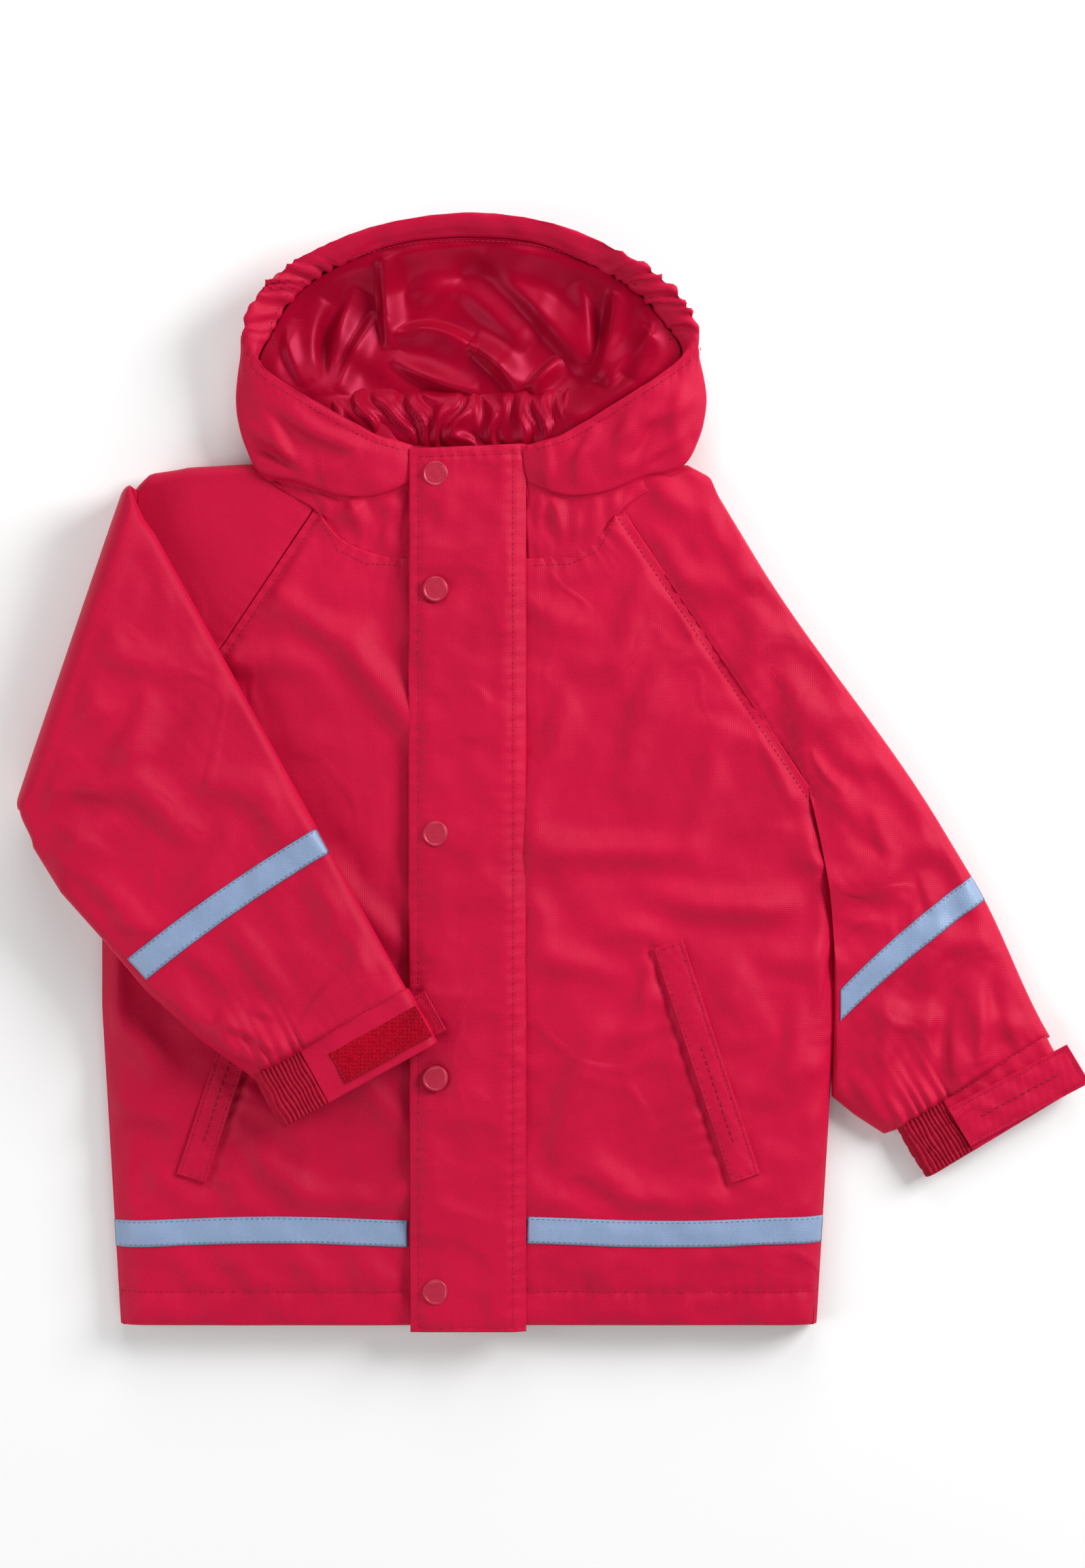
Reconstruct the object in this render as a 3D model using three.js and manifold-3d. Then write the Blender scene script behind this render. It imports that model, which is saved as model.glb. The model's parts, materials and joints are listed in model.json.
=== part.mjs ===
// A child's lined rain jacket with a hood, laid flat on its back, its right sleeve folded across the front.
// Millimetres. X runs across the body, Y from the hem to the hood, Z up from the surface it lies on.
// The origin is on that surface, under the middle of the body. Left and right are the wearer's.
import * as THREE from "three";
import { mergeVertices } from "three/addons/utils/BufferGeometryUtils.js";
import Module from "manifold-3d";

const wasm = await Module();
wasm.setup();

// Layers, from the surface up.
const gap = 0.3; // between pieces that touch
const seamGap = 0.4; // between panels sewn edge to edge
const shellThick = 2.7; // outer cloth with its padding
const liningThick = 1;
const torsoLoft = 9; // the space inside the body as it lies
const softEdge = 0.7; // the chamfer on a panel's rim

const backLiningLow = shellThick + gap;
const backLiningTop = backLiningLow + liningThick;
const frontLiningLow = backLiningTop + torsoLoft;
const frontLiningTop = frontLiningLow + liningThick;
const frontLow = frontLiningTop + gap;
const frontTop = frontLow + shellThick;

// Body.
const bodyLength = 514; // top of the storm flap to the hem
const chestWidth = 430;
const hemTaper = 22; // the hem is this much narrower
const neckWidth = 176; // between the tops of the raglan seams
const neckDepth = 67; // top of the flap down to the bottom of the neckline
const raglanDrop = 35; // top of the flap down to the top of a raglan seam
const armholeDepth = 172; // down a raglan seam
const underarmInset = 11; // the underarm lies inside the widest point of the side
const sideDrop = 42; // from the underarm down to that widest point
const hipRise = 185; // the side starts to draw in this far above the hem
const backNeckRise = 28; // back neck above the tops of the raglan seams
const neckBow = [8, 3]; // the neckline's curve bends this far inside its top end, and above its bottom
const frontDrop = 2; // the fronts end this far below the top of the flap
const shoulderDrop = 13; // top of the flap down to the shoulder points
const shoulderInset = { left: 79, right: 39 }; // shoulder points inside the widest point of the side
const seamWidth = 6; // seam allowance between front and back

const topY = bodyLength / 2;
const hemY = -bodyLength / 2;
const neckY = topY - neckDepth;
const raglanTop = [neckWidth / 2, topY - raglanDrop];
const underarm = [chestWidth / 2 - underarmInset, raglanTop[1] - armholeDepth];
const sideHigh = [chestWidth / 2, underarm[1] - sideDrop];
const sideLow = [chestWidth / 2, hemY + hipRise];
const hemCorner = [(chestWidth - hemTaper) / 2, hemY];
const raglanSlope = (raglanTop[0] - underarm[0]) / armholeDepth;
const backNeck = [raglanTop[0] + raglanSlope * backNeckRise, raglanTop[1] + backNeckRise];

// Storm flap and its snaps.
const flapWidth = 69;
const flapSeamX = 34; // the sewn edge, at the left of the centre
const flapThick = 1.8;
const flapLift = 4.4; // the flap above the front panels, over the zip
const flapLow = frontTop + flapLift;
const flapTop = flapLow + flapThick;
const flapFreeX = flapSeamX - flapWidth;
const snapInset = 16; // snap centre from the flap's free edge
const snapTop = 18; // the first snap below the top of the flap
const snapSecond = 85;
const snapPitch = 142;
const snapRise = 21; // the last snap above the hem
const snapMiddle = [0, 1, 2].map((i) => snapSecond + i * snapPitch);
const snapDrops = [snapTop, ...snapMiddle, bodyLength - snapRise];
const capRadius = 7.4;
const capHeight = 2.5;
const socketRadius = 6;
const socketHeight = 1.6;
const shankRadius = 1.5;
const studRadius = 1.9;
const studSlack = 0.5; // between a stud's head and its socket
const placketThick = 1;

// Zip, under the flap.
const zipX = 20;
const zipOpening = 18; // between the edges of the two front panels
const chainWidth = 6;
const chainHeight = 2;
const zipTapeWidth = 11;
const zipTapeThick = 0.6;
const sliderLength = 11;
const sliderWall = 1.2;
const pullerLength = 24;
const pullerWidth = 6.5;
const pullerThick = 0.7;
const pullerSlack = 0.25;
const postRadius = 1.1;

// Reflective tape, pockets.
const tapeWidth = 16;
const tapeThick = 0.6;
const hemTapeRise = 47; // hem to the lower edge of the tape
const pocketWidth = 18;
const pocketLength = 144;
const pocketLean = 18.3; // degrees
const pocketTopInset = 99; // the pocket's top end from the widest point of the side
const pocketTopRise = 223; // and above the hem
const weltThick = 2.2;
const bagWidth = 92;
const bagThick = 2.5;

// Sleeves and cuffs.
const sleeveLean = 31.1; // degrees, the left sleeve's overarm edge from the Y axis
const foldedLean = 29; // degrees, the folded right sleeve's overarm edge from the Y axis
const foldOut = 3; // the left sleeve folds on a line this far outside the body
const shoulderEnd = [21, 12]; // from the right shoulder point out and down to the top of that sleeve's fold
const foldRun = [64, 188]; // the right sleeve's fold runs out and down by this much
const leftCuffSeam = 391; // down the left sleeve from its shoulder point
const rightCuffSeam = 336; // down the right sleeve from the top of its fold
const sleeveBow = [0.72, 20]; // the left overarm edge bows out, at this share of its length
const hollowRim = 9; // the shoulder's back half has a rim this wide on its open side
const leftTape = { s: 286, rise: 17 }; // down the sleeve, and how far the tape drops across it
const rightTape = { s: 227, rise: 13, ends: [133, 129] };
const elbow = [151, 152]; // the folded sleeve's widest point, down it and across it
const cuffWidth = 101; // laid flat
const cuffHeight = 33;
const bandShare = 0.7; // of a cuff's width is plain band, and the rest is elastic
const sleeveWall = 3; // cloth, padding and lining
const sleeveLoft = 8; // the space inside the sleeve that lies out flat
const foldedLoft = 6; // and inside the folded one, which is pressed flatter
const cuffWall = 2.8;
const tabLength = 79;
const tabWidth = 26;
const tabThick = 1.6;
const patchLength = 57;
const patchWidth = 20;
const patchInset = 8; // from the cuff's seam
const patchThick = 1.2;

// Hood.
const hoodHalfWidth = 136;
const hoodCentreX = 2; // the hood lies a little to the left of the body's middle
const hoodHingeRise = 31; // the line on which the hood lifts, above the top of the flap
const hoodStraight = 12; // straight side of the hood above that line
const hoodRise = 88; // crown above the straight sides
const hoodWall = 20; // how far the opening lies inside the outline
const hoodWallTop = 28;
const brimThick = 2.6;
const hoodLiningThick = 1.5;
const crownHalf = 62; // half the width of the hood's middle panel
const neckBandHalf = 76;
const neckBandWidth = 18;
const neckBandThick = 2;
const neckBandRise = 8; // above the top of the flap
const neckBandSag = 6;
const loopLength = 46;
const loopWidth = 6;
const loopThick = 1;
const loopRise = 12; // above the top of the flap
const collarThick = 5;

const reds = { shell: 0xc4163a, lining: 0xb0062e, trim: 0xb50f33, metal: 0xd42a4a };
const materials = {
  shell: new THREE.MeshStandardMaterial({ color: reds.shell, roughness: 0.62, metalness: 0 }),
  lining: new THREE.MeshStandardMaterial({ color: reds.lining, roughness: 0.32, metalness: 0 }),
  elastic: new THREE.MeshStandardMaterial({ color: reds.trim, roughness: 0.7, metalness: 0 }),
  loop: new THREE.MeshStandardMaterial({ color: reds.trim, roughness: 0.95, metalness: 0 }),
  tape: new THREE.MeshStandardMaterial({ color: 0x8c9cc0, roughness: 0.4, metalness: 0.1 }),
  zip: new THREE.MeshStandardMaterial({ color: reds.trim, roughness: 0.5, metalness: 0 }),
  snap: new THREE.MeshStandardMaterial({ color: reds.metal, roughness: 0.3, metalness: 0.3 }),
};

const jacket = new THREE.Group();

function add(name, geometry, material, parent = jacket) {
  const mesh = new THREE.Mesh(geometry, material);
  mesh.name = name;
  parent.add(mesh);
  return mesh;
}

// A closed outline from corners. A corner with four numbers is reached by a curve,
// whose control point is the last two.
function outline(corners, mirror = 1) {
  const shape = new THREE.Shape();
  corners.forEach(([x, y, cx, cy], i) => {
    if (i === 0) shape.moveTo(mirror * x, y);
    else if (cx === undefined) shape.lineTo(mirror * x, y);
    else shape.quadraticCurveTo(mirror * cx, cy, mirror * x, y);
  });
  shape.closePath();
  return shape;
}

// A flat piece with a chamfered rim, drawn in by half a seam gap all round.
function slab(shape, low, high, edge = softEdge) {
  const bevel = Math.min(edge, (high - low) / 3);
  const geometry = new THREE.ExtrudeGeometry(shape, {
    depth: high - low - 2 * bevel,
    bevelEnabled: true,
    bevelThickness: bevel,
    bevelSize: bevel,
    bevelOffset: -bevel - seamGap / 2,
    bevelSegments: 1,
    curveSegments: 7,
  });
  return geometry.translate(0, 0, low + bevel);
}

// A straight-sided block over a shape, for cutting.
function prism(shape, low, high) {
  const geometry = new THREE.ExtrudeGeometry(shape, {
    depth: high - low,
    bevelEnabled: false,
    curveSegments: 7,
  });
  return geometry.translate(0, 0, low);
}

function solidOf(geometry) {
  const bare = new THREE.BufferGeometry().setAttribute("position", geometry.getAttribute("position"));
  if (geometry.index) bare.setIndex(geometry.index);
  const merged = mergeVertices(bare, 1e-4);
  const vertProperties = merged.attributes.position.array;
  return new wasm.Manifold(new wasm.Mesh({ numProp: 3, vertProperties, triVerts: merged.index.array }));
}

function geometryOf(solid) {
  const mesh = solid.getMesh();
  return new THREE.BufferGeometry()
    .setAttribute("position", new THREE.BufferAttribute(mesh.vertProperties, 3))
    .setIndex(new THREE.BufferAttribute(mesh.triVerts, 1));
}

function cut(geometry, ...cutters) {
  return geometryOf(cutters.reduce((left, c) => left.subtract(solidOf(c)), solidOf(geometry)));
}

// A round piece from (radius, height) pairs that run up from the axis and back to it.
function turned(profile, x, y, sides = 14) {
  const points = profile.map(([r, z]) => new THREE.Vector2(r, z));
  return new THREE.LatheGeometry(points, sides).rotateX(Math.PI / 2).translate(x, y, 0);
}

const pin = (radius, low, high) => [[0, low], [radius, low], [radius, high], [0, high]];

const box = (x0, x1, y0, y1) => outline([[x0, y0], [x1, y0], [x1, y1], [x0, y1]]);

// Body panels.

const neckEnd = [...raglanTop, raglanTop[0] - neckBow[0], neckY + neckBow[1]];

// The front of one side, from its edge at the zip round the neckline, the raglan seam, the side and the hem.
function frontOutline(side, edgeX, stripX) {
  const frontY = topY - frontDrop;
  const edge = [[edgeX, hemY], [edgeX, frontY], [stripX, frontY], [stripX, neckY]];
  return outline([...edge, neckEnd, underarm, sideHigh, sideLow, hemCorner], side);
}

const leftFront = frontOutline(1, zipX + zipOpening / 2, flapSeamX + 1);
const rightFront = frontOutline(-1, -(zipX - zipOpening / 2), -flapFreeX);
add("front_panel_left", slab(leftFront, frontLow, frontTop), materials.shell);
add("front_panel_right", slab(rightFront, frontLow, frontTop), materials.shell);
add("front_lining_left", slab(leftFront, frontLiningLow, frontLiningTop, 0.2), materials.lining);
add("front_lining_right", slab(rightFront, frontLiningLow, frontLiningTop, 0.2), materials.lining);

const mirrored = (points) => points.map(([x, y]) => [-x, y]).reverse();
const backSide = [hemCorner, sideLow, sideHigh, underarm, backNeck];
const backShape = outline([...backSide, ...mirrored(backSide)]);
add("back_panel", slab(backShape, 0, shellThick), materials.shell);
add("back_lining", slab(backShape, backLiningLow, backLiningTop, 0.2), materials.lining);

// The side seams join front and back, from the hem up to the underarm.
for (const [name, side] of [["left", 1], ["right", -1]]) {
  const inner = [sideHigh, sideLow, hemCorner].map(([x, y]) => [x - seamWidth, y]);
  const seam = outline([hemCorner, sideLow, sideHigh, ...inner], side);
  add(`side_seam_${name}`, slab(seam, backLiningTop + gap, frontLiningLow - gap), materials.lining);
}

// Shoulders: the part of each sleeve between the raglan seam and the line where the sleeve folds.
const radians = Math.PI / 180;
const leftFoldX = chestWidth / 2 + foldOut;
const leftShoulderPoint = [chestWidth / 2 - shoulderInset.left, topY - shoulderDrop];
const rightShoulderPoint = [chestWidth / 2 - shoulderInset.right, topY - shoulderDrop];
const rightFoldTop = [-rightShoulderPoint[0] - shoulderEnd[0], rightShoulderPoint[1] - shoulderEnd[1]];
const rightFoldLow = [rightFoldTop[0] - foldRun[0], rightFoldTop[1] - foldRun[1]];

// Distances down a sleeve and across it, from the overarm edge, to a point on the surface.
function sleeveFrame([x, y], lean) {
  const down = [Math.sin(lean), -Math.cos(lean)];
  const over = [-Math.cos(lean), -Math.sin(lean)];
  const at = (s, t) => [x + s * down[0] + t * over[0], y + s * down[1] + t * over[1]];
  return { at, down, over };
}

const left = sleeveFrame(leftShoulderPoint, sleeveLean * radians);
const right = sleeveFrame(rightFoldTop, foldedLean * radians);
const leftFoldHigh = [leftFoldX, left.at((leftFoldX - leftShoulderPoint[0]) / left.down[0], 0)[1]];

const shoulderShapes = {
  left: {
    outer: [[...leftShoulderPoint], [leftFoldX - 1, leftFoldHigh[1]]],
    inner: [[leftFoldX - 1, sideHigh[1]], sideHigh, underarm],
    side: 1,
  },
  right: {
    outer: [
      rightShoulderPoint,
      [-rightFoldTop[0], rightFoldTop[1]],
      [-rightFoldLow[0], rightFoldLow[1]],
    ],
    inner: [sideHigh, underarm],
    side: -1,
  },
};

for (const [name, { outer, inner, side }] of Object.entries(shoulderShapes)) {
  const whole = outline([backNeck, ...outer, ...inner], side);
  add(`${name}_shoulder_front`, slab(whole, frontLiningLow, frontTop), materials.shell);
  // The back half has an upright rim along the top of the shoulder, which closes the sleeve's edge there.
  const room = [backNeck, ...outer.slice(0, 2)].map(([x, y], i) => [x - 2 * i, y - seamWidth]);
  const open = [...outer.slice(2), ...inner].map(([x, y]) => [x + hollowRim, y]);
  const hollow = outline([[backNeck[0] - 40, backNeck[1] - seamWidth], ...room, ...open, [60, 0]], side);
  const back = slab(whole, 0, frontLiningLow - gap);
  const cutter = prism(hollow, backLiningTop, frontLiningLow + 1);
  add(`${name}_shoulder_back`, cut(back, cutter), materials.shell);
}

// Hem tape.
for (const [name, side, innerX] of [["left", 1, flapSeamX], ["right", -1, -flapFreeX]]) {
  const edgeAt = (y) => hemCorner[0] + ((sideLow[0] - hemCorner[0]) * (y - hemY)) / (sideLow[1] - hemY);
  const low = hemY + hemTapeRise;
  const high = low + tapeWidth;
  const shape = outline([[innerX, low], [edgeAt(low), low], [edgeAt(high), high], [innerX, high]], side);
  add(`hem_tape_${name}`, slab(shape, frontTop + gap, frontTop + gap + tapeThick, 0.1), materials.tape);
}

// Zip.
const tapeLow = frontTop + gap;
const tapeTop = tapeLow + zipTapeThick;
const chainLow = frontTop - 0.6;
const chainTop = chainLow + chainHeight;
const zipTop = topY - 24;
const zipLow = hemY + 8;
for (const [name, side] of [["left", 1], ["right", -1]]) {
  const inner = zipX + side * (chainWidth / 2);
  const outer = zipX + side * (chainWidth / 2 + zipTapeWidth);
  const shape = box(Math.min(inner, outer), Math.max(inner, outer), zipLow, topY - 6);
  add(`zip_tape_${name}`, slab(shape, tapeLow, tapeTop, 0.1), materials.zip);
}
const chain = box(zipX - chainWidth / 2, zipX + chainWidth / 2, zipLow, zipTop);
add("zip_chain", slab(chain, chainLow, chainTop, 0.4), materials.zip);

// The slider is a saddle over the chain, with a round post on which the puller swings.
const sliderHalf = chainWidth / 2 + sliderWall;
const sliderTop = chainTop + gap + sliderWall;
const sliderY = [zipTop - sliderLength, zipTop];
const saddle = prism(box(zipX - sliderHalf, zipX + sliderHalf, ...sliderY), tapeTop + gap, sliderTop);
const tunnelHalf = chainWidth / 2 + gap;
const tunnel = prism(
  box(zipX - tunnelHalf, zipX + tunnelHalf, sliderY[0] - 1, sliderY[1] + 1),
  tapeTop - 1,
  chainTop + gap,
);
const postY = zipTop - sliderLength / 2;
const postTop = flapLow - gap;
const rod = (radius, low, high) => turned(pin(radius, low, high), zipX, postY);
const post = rod(postRadius, sliderTop - 0.5, postTop);
add("zip_slider", geometryOf(solidOf(cut(saddle, tunnel)).add(solidOf(post))), materials.snap);
const pullerEnd = postY + pullerWidth / 2;
const pullerPlate = prism(
  box(zipX - pullerWidth / 2, zipX + pullerWidth / 2, pullerEnd - pullerLength, pullerEnd),
  sliderTop + pullerSlack,
  sliderTop + pullerSlack + pullerThick,
);
add("zip_puller", cut(pullerPlate, rod(postRadius + gap, sliderTop - 1, postTop + 1)), materials.snap);

// Snap placket, studs, flap and caps.
const placketTop = frontTop + gap + placketThick;
const placket = box(flapFreeX + 3, zipX - chainWidth / 2 - zipTapeWidth - 1, hemY + 4, topY - 6);
add("snap_placket", slab(placket, frontTop + gap, placketTop, 0.2), materials.shell);

const snapX = flapFreeX + snapInset;
const studBase = placketTop + gap;
const socketTop = flapLow - gap;
const socketLow = socketTop - socketHeight;
const headTop = socketTop - 0.6;
const holeRadius = shankRadius + gap;

const flapShape = outline([
  [flapFreeX, hemY - 3],
  [flapSeamX, hemY - 3],
  [flapSeamX, topY],
  [flapFreeX, topY - 3],
]);
const snapHole = pin(holeRadius, flapLow - 1, flapTop + 1);
const snapHoles = snapDrops.map((drop) => turned(snapHole, snapX, topY - drop));
const flap = new THREE.Group();
jacket.add(flap);
add("storm_flap", cut(slab(flapShape, flapLow, flapTop, 0.4), ...snapHoles), materials.shell, flap);

snapDrops.forEach((drop, i) => {
  const y = topY - drop;
  const stud = [
    [0, studBase],
    [socketRadius, studBase],
    [socketRadius, socketLow - gap],
    [studRadius, socketLow - gap],
    [studRadius, headTop - 0.3],
    [0, headTop - 0.3],
  ];
  add(`snap_stud_${i + 1}`, turned(stud, snapX, y), materials.snap);
  const capLow = flapTop + gap;
  const cap = [
    [0, headTop],
    [studRadius + studSlack, headTop],
    [studRadius + studSlack, socketLow],
    [socketRadius, socketLow],
    [socketRadius, socketTop],
    [shankRadius, socketTop],
    [shankRadius, capLow],
    [capRadius, capLow],
    [capRadius, capLow + capHeight * 0.5],
    [capRadius - 0.9, capLow + capHeight * 0.85],
    [capRadius - 2.5, capLow + capHeight],
    [0, capLow + capHeight],
  ];
  add(`snap_cap_${i + 1}`, turned(cap, snapX, y), materials.snap, flap);
});

// Pockets.
// Down the pocket, and across it as a share of the bag's width.
const bagCorners = [[4, 0], [pocketLength - 4, 0], [pocketLength + 6, 1], [20, 1]];
const lean = pocketLean * radians;
const pocketAlong = [Math.sin(lean), -Math.cos(lean)];
const pocketAcross = [Math.cos(lean), Math.sin(lean)];
const pocketTop = [chestWidth / 2 - pocketTopInset, hemY + pocketTopRise];
const pocketPoint = (s, t) => [
  pocketTop[0] + s * pocketAlong[0] + t * pocketAcross[0],
  pocketTop[1] + s * pocketAlong[1] + t * pocketAcross[1],
];
for (const [name, side] of [["left", 1], ["right", -1]]) {
  const half = pocketWidth / 2;
  const welt = [[0, -half], [pocketLength, -half], [pocketLength, half], [0, half]];
  const weltShape = outline(welt.map(([s, t]) => pocketPoint(s, t)), side);
  add(`pocket_welt_${name}`, slab(weltShape, frontTop + gap, frontTop + gap + weltThick), materials.shell);
  const bag = bagCorners.map(([s, t]) => [s, half - t * bagWidth]);
  const bagShape = outline(bag.map(([s, t]) => pocketPoint(s, t)), side);
  const bagTop = frontLiningLow - gap;
  add(`pocket_bag_${name}`, slab(bagShape, bagTop - bagThick, bagTop), materials.lining);
}

// Collar: the front of the hood, sewn to the neckline and lying on the shoulders.
const hoodHingeY = topY + hoodHingeRise;
const hoodCentreY = hoodHingeY + hoodStraight;
const collarLow = frontTop + seamGap;
const collarTop = hoodHingeY - 1;
const hoodLeftX = hoodCentreX + hoodHalfWidth;
const hoodRightX = hoodHalfWidth - hoodCentreX;
for (const [name, side, strip, edge] of [
  ["left", 1, flapSeamX + 3, hoodLeftX],
  ["right", -1, 1 - flapFreeX, hoodRightX],
]) {
  const collar = outline(
    [
      [strip, neckY],
      neckEnd,
      [edge - 2, topY - 6],
      [edge, collarTop],
      [edge - hoodWall - 4, collarTop],
      [strip, topY - 1, 74, topY + 5],
    ],
    side,
  );
  add(`collar_${name}`, slab(collar, collarLow, collarLow + collarThick), materials.shell);
}

// Hood.
// Its outline above the hinge line is a half ellipse on straight sides.
function hoodOutline(wall, low) {
  const shape = new THREE.Shape();
  const halfWidth = hoodHalfWidth - wall;
  shape.moveTo(hoodCentreX - halfWidth, low);
  shape.lineTo(hoodCentreX + halfWidth, low);
  shape.lineTo(hoodCentreX + halfWidth, hoodCentreY);
  shape.absellipse(hoodCentreX, hoodCentreY, halfWidth, hoodRise - wall, 0, Math.PI, false, 0);
  shape.closePath();
  return shape;
}

// The lower back of the hood stays with the body: a floor with a rim along each side.
const backFloorTop = backLiningTop;
const base = slab(box(-hoodRightX, hoodLeftX, topY - 6.4, hoodHingeY), 0, frontTop);
const roomShape = box(-hoodRightX + hoodWall, hoodLeftX - hoodWall, 0, hoodHingeY + 1);
add("hood_base", cut(base, prism(roomShape, backFloorTop, frontTop + 1)), materials.shell);
const neckBandX = [hoodCentreX - neckBandHalf, hoodCentreX + neckBandHalf];
const neckBandY = [topY + neckBandRise, topY + neckBandRise + neckBandWidth];
const neckBand = outline([
  [neckBandX[0], neckBandY[0]],
  [neckBandX[1], neckBandY[0], hoodCentreX, neckBandY[0] - neckBandSag],
  [neckBandX[1], neckBandY[1]],
  [neckBandX[0], neckBandY[1], hoodCentreX, neckBandY[1] - neckBandSag],
]);
const neckBandTop = backFloorTop + gap + neckBandThick;
add("neck_elastic", slab(neckBand, backFloorTop + gap, neckBandTop, 0.3), materials.elastic);
const loopX = [hoodCentreX - loopLength / 2, hoodCentreX + loopLength / 2];
const loopShape = box(...loopX, topY + loopRise, topY + loopRise + loopWidth);
add("hang_loop", slab(loopShape, neckBandTop + gap, neckBandTop + gap + loopThick, 0.2), materials.elastic);

const hood = new THREE.Group();
jacket.add(hood);
const hoodLow = hoodHingeY + 1;
add("hood_back", slab(hoodOutline(0, hoodLow), 0, backFloorTop), materials.shell, hood);
const hoodLiningShape = hoodOutline(hoodWall + 1, hoodLow);
const hoodLining = slab(hoodLiningShape, backFloorTop + gap, backFloorTop + gap + hoodLiningThick, 0.2);
add("hood_lining", hoodLining, materials.lining, hood);

const ring = (low, high) =>
  cut(slab(hoodOutline(0, hoodLow), low, high), prism(hoodOutline(hoodWall, hoodLow - 5), low - 1, high + 1));
const wallRing = solidOf(ring(backFloorTop + gap, hoodWallTop));
const crownBox = (x0, x1) => solidOf(prism(box(x0, x1, 0, hoodCentreY + hoodRise + 5), 0, hoodWallTop + 5));
const pieces = [
  ["hood_crown", hoodCentreX - crownHalf, hoodCentreX + crownHalf],
  ["hood_side_left", hoodCentreX + crownHalf + seamGap, hoodLeftX + 5],
  ["hood_side_right", -hoodRightX - 5, hoodCentreX - crownHalf - seamGap],
];
for (const [name, x0, x1] of pieces) {
  add(name, geometryOf(wallRing.intersect(crownBox(x0, x1))), materials.shell, hood);
}
add("hood_brim", ring(hoodWallTop + gap, hoodWallTop + gap + brimThick), materials.shell, hood);

// Sleeves.

// The two halves of a flattened sleeve: a tray with a rim along each edge, and a lid.
function sleeveHalves(corners, hollowCorners, low, loft) {
  const shape = outline(corners);
  const lidLow = low + sleeveWall + loft;
  const tray = cut(
    slab(shape, low, lidLow - gap),
    prism(outline(hollowCorners), low + sleeveWall, lidLow + 1),
  );
  return { tray, lid: slab(shape, lidLow, lidLow + sleeveWall), top: lidLow + sleeveWall };
}

// The two parts of a cuff, each a flattened half ring: a plain band along the overarm edge,
// and elastic beyond it.
function cuffParts(frame, seam, low, high) {
  const bandEnd = cuffWidth * bandShare;
  const rect = (t0, t1, over) =>
    outline([
      frame.at(seam - over, t0),
      frame.at(seam + cuffHeight + over, t0),
      frame.at(seam + cuffHeight + over, t1),
      frame.at(seam - over, t1),
    ]);
  const slot = (t0, t1) => prism(rect(t0, t1, 2), low + cuffWall, high - cuffWall);
  return {
    band: cut(slab(rect(-1, bandEnd, 0), low, high), slot(-1 + 2 * cuffWall, bandEnd + 2)),
    elastic: cut(slab(rect(bandEnd, cuffWidth, 0), low, high), slot(bandEnd - 2, cuffWidth - 2 * cuffWall)),
  };
}

// Reflective tape round a sleeve, bowed a little: its edges start s down the overarm edge and end where
// they have dropped by rise, at the two distances across in ends.
function sleeveTape(frame, s, rise, ends, z) {
  const middle = s + rise / 2 - 5;
  const [upper, lower] = ends;
  return slab(
    outline([
      frame.at(s, 1),
      frame.at(s + tapeWidth, 1),
      [...frame.at(s + rise + tapeWidth, lower), ...frame.at(middle + tapeWidth, lower / 2)],
      frame.at(s + rise, upper),
      [...frame.at(s, 1), ...frame.at(middle, upper / 2)],
    ]),
    z,
    z + tapeThick,
    0.1,
  );
}

// Left sleeve, laid out flat. Its inner edge is the line on which it folds over the front.
const leftSleeve = new THREE.Group();
jacket.add(leftSleeve);
const leftOuter = left.at(leftCuffSeam, 0);
const leftBulge = left.at(leftCuffSeam * sleeveBow[0], -sleeveBow[1]);
const leftUnder = [left.at(leftCuffSeam, cuffWidth), left.at(leftCuffSeam - 10, cuffWidth + 9)];
const leftFoldEnd = [leftFoldX + 1, leftUnder[1][1] + 13];
const leftFoldStart = [leftFoldX + 1, leftFoldHigh[1]];
const leftCorners = [leftFoldStart, [...leftOuter, ...leftBulge], ...leftUnder, leftFoldEnd];
const leftHollow = [
  [leftFoldX - 4, leftFoldHigh[1] - 14],
  [
    ...left.at(leftCuffSeam + 4, seamWidth),
    ...left.at(leftCuffSeam * sleeveBow[0], seamWidth - sleeveBow[1] + 2),
  ],
  left.at(leftCuffSeam + 4, cuffWidth - seamWidth),
  left.at(leftCuffSeam - 12, cuffWidth + 8 - seamWidth),
  [leftFoldX - 4, leftFoldEnd[1] + seamWidth],
];
const leftHalves = sleeveHalves(leftCorners, leftHollow, 0, sleeveLoft);
add("left_sleeve_back", leftHalves.tray, materials.shell, leftSleeve);
add("left_sleeve_front", leftHalves.lid, materials.shell, leftSleeve);
const acrossAtFold = (s) => (left.at(s, 0)[0] - leftFoldX - 2) / -left.over[0];
const leftTapeLow = leftTape.s + leftTape.rise;
const leftTapeEnds = [acrossAtFold(leftTapeLow), acrossAtFold(leftTapeLow + tapeWidth)];
const leftTapeShape = sleeveTape(left, leftTape.s, leftTape.rise, leftTapeEnds, leftHalves.top + gap);
add("left_sleeve_tape", leftTapeShape, materials.tape, leftSleeve);
const leftCuffTop = leftHalves.top - 0.5;
const leftCuff = cuffParts(left, leftCuffSeam, 0.5, leftCuffTop);
add("left_cuff_band", leftCuff.band, materials.shell, leftSleeve);
add("left_cuff_elastic", leftCuff.elastic, materials.elastic, leftSleeve);

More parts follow.
